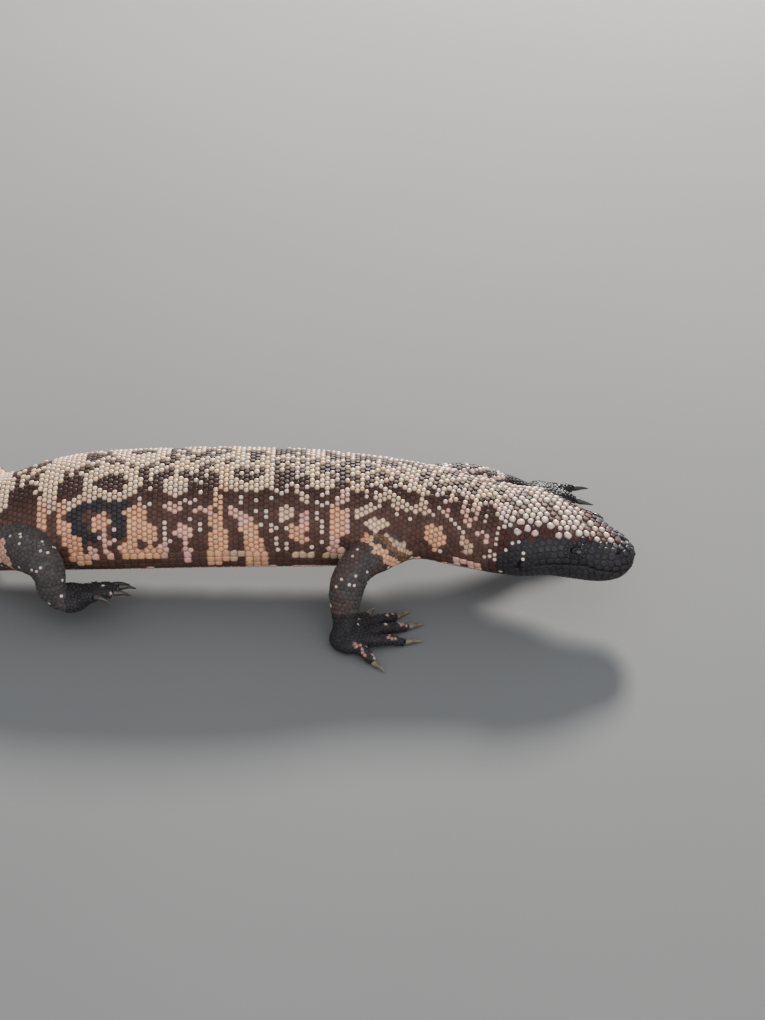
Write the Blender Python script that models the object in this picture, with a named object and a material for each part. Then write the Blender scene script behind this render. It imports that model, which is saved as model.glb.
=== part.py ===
"""A life-size gila monster in mid-stride: head, jaw, neck, torso, tail, four legs, eyes and claws.

+X runs to the snout, +Y is the animal's left and the floor is at Z = 0. Every length below is in
millimetres, and a mesh is turned into metres when its object is made. The body is one smooth path
of oval sections, cut square across into its nodes, and each leg is a path of its own.
"""

import math

import bmesh
import bpy
import numpy as np
from mathutils import Matrix, Vector

MM = 0.001
GAP = 0.3
HALF_GAP = GAP / 2
UP = np.array([0.0, 0.0, 1.0])
COLLECTION_NAME = "gila_monster"

# The body's sections from the tail's tip to the snout: x, y, z of the middle, then the half
# width, the height above the middle and the depth below it. x is 0 at the snout's tip.
BODY = (
    (-455.5, 22.0, 6.5, 3.4, 3.4, 3.4),
    (-453.0, 21.5, 7.5, 6.4, 6.2, 6.4),
    (-446.0, 20.0, 9.3, 9.4, 9.0, 9.3),
    (-430.0, 16.5, 12.0, 12.4, 11.8, 12.3),
    (-405.0, 11.0, 14.8, 15.6, 14.8, 15.2),
    (-380.0, 6.0, 17.0, 18.0, 17.0, 17.5),
    (-355.0, 2.5, 19.0, 19.6, 18.4, 19.2),
    (-332.0, 1.0, 22.8, 21.6, 19.6, 19.0),
    (-309.7, 0.0, 28.4, 25.8, 21.4, 19.8),
    (-285.0, 0.0, 33.8, 30.0, 24.4, 23.4),
    (-260.7, 0.0, 36.6, 33.0, 25.6, 25.0),
    (-236.0, 0.0, 37.8, 34.2, 25.6, 25.0),
    (-197.0, 0.0, 38.8, 34.5, 25.6, 25.0),
    (-148.0, 0.0, 38.0, 33.0, 24.6, 24.0),
    (-123.5, 0.0, 36.6, 31.0, 23.2, 22.4),
    (-106.0, -2.0, 37.4, 27.6, 21.0, 19.8),
    (-96.0, -3.8, 37.4, 26.3, 20.5, 19.4),
    (-84.0, -6.6, 35.9, 26.2, 20.4, 19.0),
    (-72.0, -10.2, 34.3, 26.0, 20.2, 17.6),
    (-58.0, -14.7, 33.7, 26.2, 19.0, 17.0),
    (-49.5, -17.4, 33.7, 25.7, 17.8, 15.8),
    (-35.3, -21.8, 33.7, 21.9, 15.0, 13.2),
    (-25.0, -25.4, 32.6, 18.9, 12.9, 12.8),
    (-15.7, -28.4, 31.2, 15.9, 10.5, 12.8),
    (-8.3, -30.8, 30.6, 12.6, 8.1, 11.0),
    (-3.4, -32.3, 30.5, 9.4, 5.9, 8.0),
    (-1.0, -33.0, 31.0, 6.2, 4.0, 5.0),
    (0.0, -33.3, 31.4, 3.3, 2.1, 2.4),
)
TAIL_CUT = -388.0
VENT = -322.0
NECK_CUT = -100.0
HEAD_CUT = -57.0
ROUND_ABOVE = 2.15
ROUND_BELOW = 2.3
HEAD_SQUARE = 2.7
ROUND = {"square_above": 2.0, "square_below": 2.0}

# Corners around a section, in threes, because each third corner of a row is a raised bead. The
# beads start at these angles up from the side, so the belly and the lower face stay smooth.
TORSO_CORNERS = 36
NECK_CORNERS = 36
TAIL_CORNERS = 27
TAIL_TIP_CORNERS = 18
HEAD_CORNERS = 33
LEG_CORNERS = 12
BEAD_HEIGHT = 1.0
HEAD_BEAD_HEIGHT = 0.7
LEG_BEAD_HEIGHT = 0.6
BODY_BEADS_FROM = -38.0
HEAD_BEADS_FROM = 24.0
SOCKET_CORNERS = 18
SOCKET_STRETCH = 2.0

# Each leg's middle line from its root inside the body to the wrist or ankle: x, y, z and radius.
RIGHT_FORE = (
    (-113.0, -19.0, 31.0, 10.2),
    (-122.0, -32.5, 34.0, 9.6),
    (-131.0, -42.5, 34.5, 8.9),
    (-136.5, -49.0, 30.0, 8.7),
    (-138.5, -52.0, 22.5, 8.3),
    (-139.0, -54.5, 15.5, 7.0),
    (-139.0, -57.5, 10.0, 6.0),
)
LEFT_FORE = (
    (-117.0, 19.0, 30.5, 10.0),
    (-105.0, 31.0, 32.0, 9.4),
    (-92.0, 36.0, 32.3, 8.6),
    (-79.0, 38.0, 31.7, 8.3),
    (-67.0, 39.0, 28.5, 7.6),
    (-57.0, 40.0, 25.0, 6.6),
    (-49.5, 41.0, 21.8, 5.8),
)
RIGHT_HIND = (
    (-305.0, -14.0, 28.0, 12.4),
    (-295.5, -27.0, 33.0, 11.6),
    (-287.5, -38.0, 35.8, 10.2),
    (-281.5, -44.5, 34.0, 8.8),
    (-279.5, -47.5, 28.0, 7.8),
    (-280.0, -48.0, 22.5, 6.7),
    (-279.0, -47.5, 19.0, 6.0),
)
LEFT_HIND = (
    (-304.0, 14.0, 25.5, 12.4),
    (-310.0, 29.0, 24.5, 11.6),
    (-316.5, 42.0, 24.5, 10.4),
    (-321.0, 52.0, 22.0, 9.4),
    (-322.5, 58.5, 16.5, 8.4),
    (-321.5, 62.5, 12.0, 7.2),
    (-319.5, 66.0, 8.8, 6.2),
)
ELBOW_AT = 0.5
ROOT_SHARE = 0.62
SOCKET_SHARE = 1.1

# Each foot: the middle of its sole, then for its five digits the knuckle and the fleshy tip.
RIGHT_HAND = (
    (-137.0, -63.5, 4.7),
    ((-134.0, -51.0, 5.0), (-128.5, -40.0, 1.9)),
    ((-130.0, -53.5, 5.4), (-114.5, -41.0, 1.9)),
    ((-127.0, -59.0, 5.4), (-109.0, -50.0, 1.9)),
    ((-127.5, -66.0, 5.2), (-110.5, -62.5, 1.9)),
    ((-131.5, -72.5, 4.8), (-125.5, -79.5, 1.9)),
)
LEFT_HAND = (
    (-42.5, 43.5, 19.2),
    ((-41.0, 37.5, 18.0), (-34.5, 30.5, 15.5)),
    ((-36.0, 39.5, 18.6), (-27.0, 36.0, 15.6)),
    ((-34.0, 42.5, 19.4), (-23.5, 41.5, 16.6)),
    ((-34.0, 46.5, 19.6), (-25.0, 50.0, 18.6)),
    ((-38.0, 50.0, 18.6), (-32.0, 54.0, 16.5)),
)
RIGHT_FOOT = (
    (-270.5, -46.5, 16.8),
    ((-265.5, -41.0, 16.8), (-257.0, -35.0, 15.6)),
    ((-262.5, -43.5, 18.0), (-251.0, -38.5, 18.2)),
    ((-261.0, -46.5, 18.8), (-248.0, -43.0, 19.8)),
    ((-261.5, -50.0, 19.0), (-250.0, -49.0, 20.5)),
    ((-266.0, -51.5, 19.2), (-258.5, -54.0, 21.5)),
)
LEFT_FOOT = (
    (-312.5, 69.5, 4.7),
    ((-306.5, 62.5, 5.0), (-297.0, 56.5, 1.9)),
    ((-303.0, 66.0, 5.4), (-289.5, 62.5, 1.9)),
    ((-301.5, 70.5, 5.4), (-285.5, 71.0, 1.9)),
    ((-304.0, 75.0, 5.2), (-290.5, 80.0, 1.9)),
    ((-309.0, 77.5, 4.8), (-304.5, 86.0, 1.9)),
)
PALM_HALF_LENGTH = 10.5
PALM_HALF_WIDTH = 10.5
PALM_HALF_HEIGHT = 5.8
WRIST_STRAIGHT = 4.0
WRIST_TO_SOLE = 0.4
WRIST_TAPER = (1.0, 1.02, 0.85)
WRIST_CORNERS = 12
ANKLE_ROOM_FROM = 0.6
DIGIT_RADII = (3.2, 3.2, 3.0, 2.3)
DIGIT_ARCH = 1.0
DIGIT_CORNERS = 7
DIGIT_ROWS = 6
CLAW_CORNERS = 6
CLAW_ROWS = 5
CLAW_LENGTH = 8.5
CLAW_RADII = (1.75, 1.75, 1.2, 0.3)
CLAW_NECK = 0.15
CLAW_MIDDLE = (0.3, 0.2)
CLAW_ARCH = 0.9
CLAW_DROP = 2.2
CLAW_LIFT = 0.5
CLAW_FLOOR = 1.1

# Places on the head: millimetres back from the snout's tip, and above the middle of the section.
EYE_BACK = 24.4
EYE_UP = 8.0
EYE_RADIUS = 3.0
EYE_DEPTH = 2.3
LID_HALF_SIZES = (5.0, 4.5, 4.5)
SLIT_HALF_SIZES = (3.4, 7.2, 2.0)
SLIT_OUT = 5.4
NOSTRIL_BACK = 4.2
NOSTRIL_UP = 5.0
NOSTRIL_HALF_SIZES = (2.2, 3.3, 1.5)
EAR_BACK = 51.0
EAR_UP = -1.5
EAR_OUT = 1.0
EAR_HALF_SIZES = (1.6, 3.6, 4.2)
LIP_BACKS = (41.0, 35.0, 29.0, 23.0, 17.0, 12.0, 7.0, 3.6, 1.8)
LIP_FRONT = 0.7
LIP_RADIUS = 1.7
LIP_SUNK = 0.9
LIP_CORNERS = 6
LIP_ROWS = 25
MOUTH_LINE = (
    (-6.0, -2.8),
    (4.0, -2.3),
    (8.0, -1.6),
    (12.0, -1.1),
    (16.0, 0.1),
    (20.0, 1.6),
    (28.0, 0.9),
    (35.0, 0.1),
    (43.0, -0.6),
)
JAW_BACK = ((48.0, -8.0), (51.0, -40.0), (-6.0, -40.0))
JAW_HALF_WIDTH = 45.0

# Bumps of the skull and its muscles: back from the snout, angle up from the side in degrees,
# the spread along the head, the spread around it in degrees and the height.
HEAD_BUMPS = (
    (24.0, 42.0, 7.0, 20.0, 1.1),
    (46.0, -8.0, 9.0, 34.0, 1.5),
    (30.0, -42.0, 9.0, 22.0, 0.8),
    (7.0, 40.0, 4.0, 26.0, 0.5),
)


def clear_scene():
    for thing in list(bpy.data.objects):
        bpy.data.objects.remove(thing, do_unlink=True)


def new_collection(name):
    found = bpy.data.collections.new(name)
    bpy.context.scene.collection.children.link(found)
    return found


def material(name, colour, roughness):
    made = bpy.data.materials.new(name)
    made.use_nodes = True
    shader = made.node_tree.nodes["Principled BSDF"]
    shader.inputs["Base Color"].default_value = (*colour, 1.0)
    shader.inputs["Roughness"].default_value = roughness
    shader.inputs["Metallic"].default_value = 0.0
    return made


def object_from(name, mesh_form, collection, finish=None):
    """Turns a bmesh in millimetres into an object in metres."""
    mesh = bpy.data.meshes.new(name)
    bmesh.ops.transform(mesh_form, matrix=Matrix.Scale(MM, 4), verts=mesh_form.verts)
    bmesh.ops.recalc_face_normals(mesh_form, faces=mesh_form.faces)
    mesh_form.to_mesh(mesh)
    mesh_form.free()
    made = bpy.data.objects.new(name, mesh)
    collection.objects.link(made)
    if finish:
        mesh.materials.append(finish)
    return made


def through(knots, values, at):
    """Reads a smooth curve, which passes through the values at the knots, at the given places."""
    knots = np.asarray(knots, float)
    values = np.asarray(values, float)
    slopes = np.gradient(values, knots, axis=0)
    first = np.clip(np.searchsorted(knots, at, side="right") - 1, 0, len(knots) - 2)
    span = (knots[first + 1] - knots[first])[:, None]
    t = (np.asarray(at) - knots[first])[:, None] / span
    start = (1 + 2 * t) * (1 - t) ** 2 * values[first] + t * (1 - t) ** 2 * span * slopes[first]
    end = t**2 * (3 - 2 * t) * values[first + 1] + t**2 * (t - 1) * span * slopes[first + 1]
    return start + end


def lengths_of(points):
    steps = np.linalg.norm(np.diff(points, axis=0), axis=1)
    return np.concatenate([[0.0], np.cumsum(steps)])


def unit(vectors):
    return vectors / np.linalg.norm(vectors, axis=-1, keepdims=True)


class Path:
    """A middle line with sections: reads its point, side and up directions and sizes at a length."""

    def __init__(self, stations, upright):
        stations = np.array(stations)
        chord = lengths_of(stations[:, :3])
        fine = through(chord, stations, np.linspace(0, chord[-1], 400))
        self.points = fine[:, :3]
        self.sizes = fine[:, 3:]
        self.lengths = lengths_of(self.points)
        self.along = unit(np.gradient(self.points, self.lengths, axis=0))
        if upright:
            self.along[:, 2] = 0
            self.along = unit(self.along)
            self.up = np.tile(UP, (len(self.along), 1))
        else:
            self.up = self.carried_up()
        self.side = np.cross(self.up, self.along)

    def carried_up(self):
        """The up direction carried along the line without a twist."""
        found = []
        last = UP
        for direction in self.along:
            last = last - direction * np.dot(last, direction)
            last = last / np.linalg.norm(last)
            found.append(last)
        return np.array(found)

    def read(self, values, length):
        return np.array([np.interp(length, self.lengths, values[:, k]) for k in range(values.shape[1])])

    def length_at_x(self, x):
        return float(np.interp(x, self.points[:, 0], self.lengths))

    def frame(self, length):
        """The middle point and the unit side, up and forward directions at this length.

        The line goes on straight past both of its ends.
        """
        side = unit(self.read(self.side, length))
        up = unit(self.read(self.up, length))
        forward = unit(np.cross(side, up))
        past = length - np.clip(length, 0.0, self.lengths[-1])
        return self.read(self.points, length) + forward * past, side, up, forward

    def section(self, length, grow=0.0):
        """Half width, height above and depth below at this length."""
        found = self.read(self.sizes, length)
        if len(found) == 1:
            found = np.repeat(found, 3)
        return found + grow


def oval(sizes, count, shift, square_above, square_below):
    """Evenly spaced points round a rounded oval, from its lowest one: side, up and angle."""
    turn = np.linspace(-math.pi / 2, 1.5 * math.pi, 361)
    top = np.sin(turn) >= 0
    power = np.where(top, 2 / square_above, 2 / square_below)
    side = sizes[0] * np.sign(np.cos(turn)) * np.abs(np.cos(turn)) ** power
    up = np.where(top, sizes[1], sizes[2]) * np.sign(np.sin(turn)) * np.abs(np.sin(turn)) ** power
    reached = lengths_of(np.stack([side, up], axis=1))
    wanted = (np.arange(count) + shift) / count * reached[-1]
    spots = [np.interp(wanted, reached, found) for found in (side, up, turn)]
    return spots, reached[-1]


def row_lengths(path, start, end, count, square, stretch):
    """Lengths of the rows between two cuts, close enough for even-sided triangles."""
    rows = [start]
    while rows[-1] < end:
        _, round_length = oval(path.section(rows[-1]), count, 0, square, square)
        rows.append(rows[-1] + max(round_length / count * math.sqrt(3) / 2, 1.5) * stretch)
    rows = np.array(rows)
    return start + (rows - start) * (end - start) / (rows[-1] - start)


def loft(path, start, end, count, **shape):
    """A closed tube of staggered rows between two lengths of the path.

    Each third point of a row is raised into a bead, where shape's bead height is more than 0.
    """
    square_above = shape.get("square_above", ROUND_ABOVE)
    square_below = shape.get("square_below", ROUND_BELOW)
    bead = shape.get("bead", 0.0)
    bead_from = shape.get("bead_from", -math.inf)
    bead_low = shape.get("bead_low", -180.0)
    grow = shape.get("grow", 0.0)
    form = shape.get("form")
    form_mesh = bmesh.new()
    rows = []
    places = row_lengths(path, start, end, count, square_above, shape.get("stretch", 1.0))
    for number, length in enumerate(places):
        middle, side, up, _ = path.frame(length)
        shift = 0.5 * (number % 2)
        (sides, ups, turns), _ = oval(path.section(length, grow), count, shift, square_above, square_below)
        outward = unit(np.stack([sides, ups], axis=1))
        inner_row = 0 < number < len(places) - 1 and length > bead_from
        row = []
        for k in range(count):
            lift = form(length, turns[k]) if form else 0.0
            degrees = math.degrees(turns[k])
            low = degrees < bead_low or degrees > 180 - bead_low
            third = (k - (number - number % 2) // 2 - number) % 3 == 0
            if third and inner_row and not low:
                lift += bead
            offset = np.array([sides[k], ups[k]]) + outward[k] * lift
            row.append(form_mesh.verts.new(middle + side * offset[0] + up * offset[1]))
        rows.append(row)
    for number in range(len(rows) - 1):
        here, there = rows[number], rows[number + 1]
        for k in range(count):
            after = (k + 1) % count
            if number % 2 == 0:
                form_mesh.faces.new((here[k], here[after], there[k]))
                form_mesh.faces.new((here[after], there[after], there[k]))
            else:
                form_mesh.faces.new((here[k], here[after], there[after]))
                form_mesh.faces.new((here[k], there[after], there[k]))
    form_mesh.faces.new(rows[0][::-1])
    form_mesh.faces.new(rows[-1])
    bmesh.ops.triangulate(form_mesh, faces=[face for face in form_mesh.faces if len(face.verts) > 4])
    return form_mesh


def lay_on_floor(form_mesh):
    for vertex in form_mesh.verts:
        vertex.co.z = max(vertex.co.z, 0.0)


def boolean(target, tool, operation, solver="EXACT"):
    """Cuts with or joins one object, or all objects of a collection, and applies the result."""
    change = target.modifiers.new(operation.lower(), "BOOLEAN")
    change.operation = operation
    change.solver = solver
    if isinstance(tool, bpy.types.Collection):
        change.operand_type = "COLLECTION"
        change.collection = tool
    else:
        change.object = tool
    graph = bpy.context.evaluated_depsgraph_get()
    result = bpy.data.meshes.new_from_object(target.evaluated_get(graph))
    target.modifiers.clear()
    target.data = result
    keep_largest(result)


def keep_largest(mesh):
    """Keeps the largest closed surface of a mesh and takes out its slivers."""
    form = bmesh.new()
    form.from_mesh(mesh)
    bmesh.ops.remove_doubles(form, verts=form.verts, dist=0.00001)
    bmesh.ops.dissolve_degenerate(form, dist=0.00001, edges=form.edges)
    bmesh.ops.triangulate(form, faces=form.faces)
    form.faces.ensure_lookup_table()
    waiting = set(form.faces)
    shells = []
    while waiting:
        shell = set()
        reached = [waiting.pop()]
        while reached:
            face = reached.pop()
            shell.add(face)
            for edge in face.edges:
                for other in edge.link_faces:
                    if other in waiting:
                        waiting.discard(other)
                        reached.append(other)
        shells.append(shell)
    shells.sort(key=lambda shell: sum(face.calc_area() for face in shell))
    extra = [face for shell in shells[:-1] for face in shell]
    bmesh.ops.delete(form, geom=extra, context="FACES")
    form.to_mesh(mesh)
    form.free()


def ball(middle, radii, along, up, segments=14, rings=8):
    """An ellipsoid with its three half sizes along, across and up."""
    form = bmesh.new()
    bmesh.ops.create_uvsphere(form, u_segments=segments, v_segments=rings, radius=1.0)
    along = Vector(along).normalized()
    across = Vector(up).cross(along).normalized()
    over = along.cross(across)
    turn = Matrix((along * radii[0], across * radii[1], over * radii[2])).transposed().to_4x4()
    bmesh.ops.transform(form, matrix=Matrix.Translation(Vector(middle)) @ turn, verts=form.verts)
    return form


def tube(points, radii, corners, count_rows):
    """A tube with flat ends through points a few millimetres apart."""
    stations = [(*point, radius) for point, radius in zip(points, radii)]
    path = Path(stations, upright=False)
    form = bmesh.new()
    rows = []
    for length in np.linspace(0, path.lengths[-1], count_rows):
        middle, side, up, _ = path.frame(length)
        radius = path.section(length)[0]
        turns = [2 * math.pi * k / corners for k in range(corners)]
        ring = [middle + radius * (math.cos(turn) * side + math.sin(turn) * up) for turn in turns]
        rows.append([form.verts.new(spot) for spot in ring])
    for here, there in zip(rows, rows[1:]):
        for k in range(corners):
            after = (k + 1) % corners
            form.faces.new((here[k], here[after], there[after], there[k]))
    form.faces.new(rows[0][::-1])
    form.faces.new(rows[-1])
    return form


def cut_at_floor(thing):
    """Cuts a planted foot flat where it stands."""
    form = bmesh.new()
    form.from_mesh(thing.data)
    everything = form.verts[:] + form.edges[:] + form.faces[:]
    bmesh.ops.bisect_plane(form, geom=everything, plane_co=(0, 0, 0), plane_no=(0, 0, 1), clear_inner=True)
    bmesh.ops.holes_fill(form, edges=[edge for edge in form.edges if edge.is_boundary])
    bmesh.ops.triangulate(form, faces=form.faces)
    form.to_mesh(thing.data)
    form.free()


def head_form(path, length, turn):
    """How far the skull's bumps lift the head's surface at a length and a turn round it."""
    back = path.lengths[-1] - length
    degrees = math.degrees(turn)
    from_side = degrees if degrees <= 90 else 180 - degrees
    lift = 0.0
    for bump_back, bump_turn, spread, turn_spread, height in HEAD_BUMPS:
        far = ((back - bump_back) / spread) ** 2 + ((from_side - bump_turn) / turn_spread) ** 2
        lift += height * math.exp(-far)
    return lift


def on_head(path, back, height, left):
    """The point of the head's surface this far behind the snout and above the section's middle."""
    length = path.lengths[-1] - back
    middle, side, up, forward = path.frame(length)
    half_width, above, below = path.section(length)
    share = abs(height) / (above if height > 0 else below)
    square = HEAD_SQUARE if height > 0 else ROUND_BELOW
    reach = half_width * (1 - share**square) ** (1 / square)
    reach += head_form(path, length, math.atan2(height, reach))
    sign = 1 if left else -1
    outward = unit(side * sign * reach / half_width**2 + up * height / above**2)
    return middle + side * sign * reach + up * height, outward, forward


def jaw_cutter(path, raised, collection, name):
    """The block that holds the lower jaw, its top along the line of the mouth."""
    outline = [(back, up + raised) for back, up in MOUTH_LINE]
    outline += [(back + raised * (back > 0), up) for back, up in JAW_BACK]
    middle, side, _, forward = path.frame(path.lengths[-1])
    form = bmesh.new()
    flat = []
    for back, up in outline:
        level = path.frame(max(path.lengths[-1] - max(back, 0), 0))[0][2]
        spot = middle - forward * back
        spot[2] = level + up
        flat.append(form.verts.new(spot - side * JAW_HALF_WIDTH))
    face = form.faces.new(flat)
    pushed = bmesh.ops.extrude_face_region(form, geom=[face])["geom"]
    moved = [item for item in pushed if isinstance(item, bmesh.types.BMVert)]
    bmesh.ops.translate(form, verts=moved, vec=Vector(side * 2 * JAW_HALF_WIDTH))
    return object_from(name, form, collection)


def remove(*things):
    for thing in things:
        bpy.data.objects.remove(thing, do_unlink=True)


def mouth_line(path):
    """Points just under the skin along the mouth, from its left corner round the snout to the right."""
    backs, ups = zip(*MOUTH_LINE)
    found = []
    for left in (True, False):
        half = []
        for back in LIP_BACKS:
            spot, outward, _ = on_head(path, back, float(np.interp(back, backs, ups)), left)
            half.append(spot - outward * LIP_SUNK)
        found.append(half)
    middle, _, up, forward = path.frame(path.lengths[-1] - LIP_FRONT)
    front = middle + up * ups[0] - forward * LIP_SUNK
    return [*found[0], front, *found[1][::-1]]


def build_head(path, parts, helpers, skin, jaw_skin, eye_finish):
    """The head with its lips, lids, nostrils and ears, the jaw under the mouth line, and the eyes."""
    start = path.length_at_x(HEAD_CUT) + HALF_GAP
    whole = loft(
        path,
        start,
        path.lengths[-1],
        HEAD_CORNERS,
        square_above=HEAD_SQUARE,
        bead=HEAD_BEAD_HEIGHT,
        bead_low=HEAD_BEADS_FROM,
        form=lambda length, turn: head_form(path, length, turn),
    )
    head = object_from("head", whole, parts, skin)
    lips = mouth_line(path)
    lip = object_from("lips", tube(lips, [LIP_RADIUS] * len(lips), LIP_CORNERS, LIP_ROWS), helpers)
    boolean(head, lip, "UNION")
    holes = []
    eyes = []
    for left, name in ((True, "left"), (False, "right")):
        spot, outward, forward = on_head(path, EYE_BACK, EYE_UP, left)
        middle = spot - outward * EYE_DEPTH
        lid = object_from("lid_" + name, ball(middle, LID_HALF_SIZES, forward, UP), helpers)
        boolean(head, lid, "UNION")
        over = np.cross(forward, outward) * (1 if left else -1)
        holes.append(("slit_" + name, ball(middle + outward * SLIT_OUT, SLIT_HALF_SIZES, forward, over)))
        holes.append(("room_" + name, ball(middle, [EYE_RADIUS + GAP] * 3, forward, UP)))
        eyes.append(("eye_" + name, ball(middle, [EYE_RADIUS] * 3, outward, UP)))
        spot, outward, forward = on_head(path, NOSTRIL_BACK, NOSTRIL_UP, left)
        holes.append(("nostril_" + name, ball(spot, NOSTRIL_HALF_SIZES, forward, UP, 10, 6)))
        spot, outward, forward = on_head(path, EAR_BACK, EAR_UP, left)
        holes.append(("ear_" + name, ball(spot + outward * EAR_OUT, EAR_HALF_SIZES, forward, UP, 10, 8)))
    for name, form in holes:
        boolean(head, object_from(name, form, helpers), "DIFFERENCE")
    jaw = head.copy()
    jaw.data = head.data.copy()
    jaw.name = "jaw"
    parts.objects.link(jaw)
    jaw.data.materials.clear()
    jaw.data.materials.append(jaw_skin)
    boolean(jaw, jaw_cutter(path, 0.0, helpers, "jaw_block"), "INTERSECT")
    boolean(head, jaw_cutter(path, GAP, helpers, "mouth_block"), "DIFFERENCE")
    remove(*helpers.objects)
    for name, form in eyes:
        object_from(name, form, parts, eye_finish)


def root_form(length, knee):
    """Widens a socket by the height of a bead, where the leg comes out of the body with its beads."""
    clear = knee * ROOT_SHARE
    return LEG_BEAD_HEIGHT * float(np.clip((length / clear - 0.8) * 5, 0, 1))


def build_leg(name, stations, foot_name, foot, beside, parts, helpers, finishes):
    """The upper and lower leg with the foot and its claws, and a socket for the root in each body node."""
    path = Path(stations, upright=False)
    end = path.lengths[-1]
    knee = end * ELBOW_AT
    beads = {"bead": LEG_BEAD_HEIGHT, **ROUND}
    upper = loft(path, 0.0, knee - HALF_GAP, LEG_CORNERS, bead_from=knee * ROOT_SHARE, **beads)
    object_from(name + "_upper", upper, parts, finishes["leg"])
    lower = loft(path, knee + HALF_GAP, end - HALF_GAP, LEG_CORNERS, **beads)
    object_from(name + "_lower", lower, parts, finishes["leg"])
    tool = loft(
        path,
        -GAP,
        knee * SOCKET_SHARE,
        SOCKET_CORNERS,
        grow=GAP,
        stretch=SOCKET_STRETCH,
        form=lambda length, turn: root_form(length, knee),
        **ROUND,
    )
    socket = object_from("socket_" + name, tool, helpers)
    for body_node in beside:
        boolean(body_node, socket, "DIFFERENCE")
    remove(socket)
    build_foot(name, foot_name, foot, path, parts, helpers, finishes)


def build_foot(name, foot_name, foot, path, parts, helpers, finishes):
    """One solid of wrist, palm and five digits, cut clear of the leg, and the claws in front of it."""
    end = path.lengths[-1]
    sole = np.array(foot[0])
    wrist, _, _, down = path.frame(end)
    bend = (wrist + down * WRIST_STRAIGHT) * (1 - WRIST_TO_SOLE) + sole * WRIST_TO_SOLE
    radii = [path.section(end)[0] * share for share in WRIST_TAPER]
    stub = tube([wrist + down * GAP, bend, sole], radii, WRIST_CORNERS, 4)
    foot_node = object_from(foot_name, stub, parts, finishes["foot"])
    forward = np.array(foot[3][1]) - sole
    forward[2] = 0
    palm = ball(sole, (PALM_HALF_LENGTH, PALM_HALF_WIDTH, PALM_HALF_HEIGHT), forward, UP, 12, 7)
    object_from("palm_" + name, palm, helpers)
    for number, (knuckle, tip) in enumerate(foot[1:], start=1):
        root = (sole + np.array(knuckle)) / 2
        arch = (np.array(knuckle) + np.array(tip)) / 2 + UP * DIGIT_ARCH
        digit = tube([root, knuckle, arch, tip], DIGIT_RADII, DIGIT_CORNERS, DIGIT_ROWS)
        object_from(f"digit_{name}_{number}", digit, helpers)
        build_claw(f"claw_{name}_{number}", arch, np.array(tip), parts, finishes["claw"])
    boolean(foot_node, helpers, "UNION")
    remove(*helpers.objects)
    room_from = end * ANKLE_ROOM_FROM
    room = loft(path, room_from, end + GAP, LEG_CORNERS, grow=LEG_BEAD_HEIGHT + GAP, **ROUND)
    boolean(foot_node, object_from("ankle_" + name, room, helpers), "DIFFERENCE")
    remove(*helpers.objects)
    if min(place.co.z for place in foot_node.data.vertices) < 0:
        cut_at_floor(foot_node)


def build_claw(name, arch, tip, parts, finish):
    """A curved horn claw, which goes on from the flat end of its digit."""
    along = unit(tip - arch)
    level = unit(np.array([along[0], along[1], 0.0]))
    root = tip + along * GAP + UP * CLAW_LIFT
    neck = root + along * CLAW_LENGTH * CLAW_NECK
    middle = root + (along * CLAW_MIDDLE[0] + level * CLAW_MIDDLE[1]) * CLAW_LENGTH
    end = root + level * CLAW_LENGTH - UP * CLAW_DROP
    end[2] = max(end[2], CLAW_FLOOR)
    middle[2] = max(middle[2], end[2] + CLAW_ARCH)
    claw = tube([root, neck, middle, end], CLAW_RADII, CLAW_CORNERS, CLAW_ROWS)
    object_from(name, claw, parts, finish)


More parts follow.
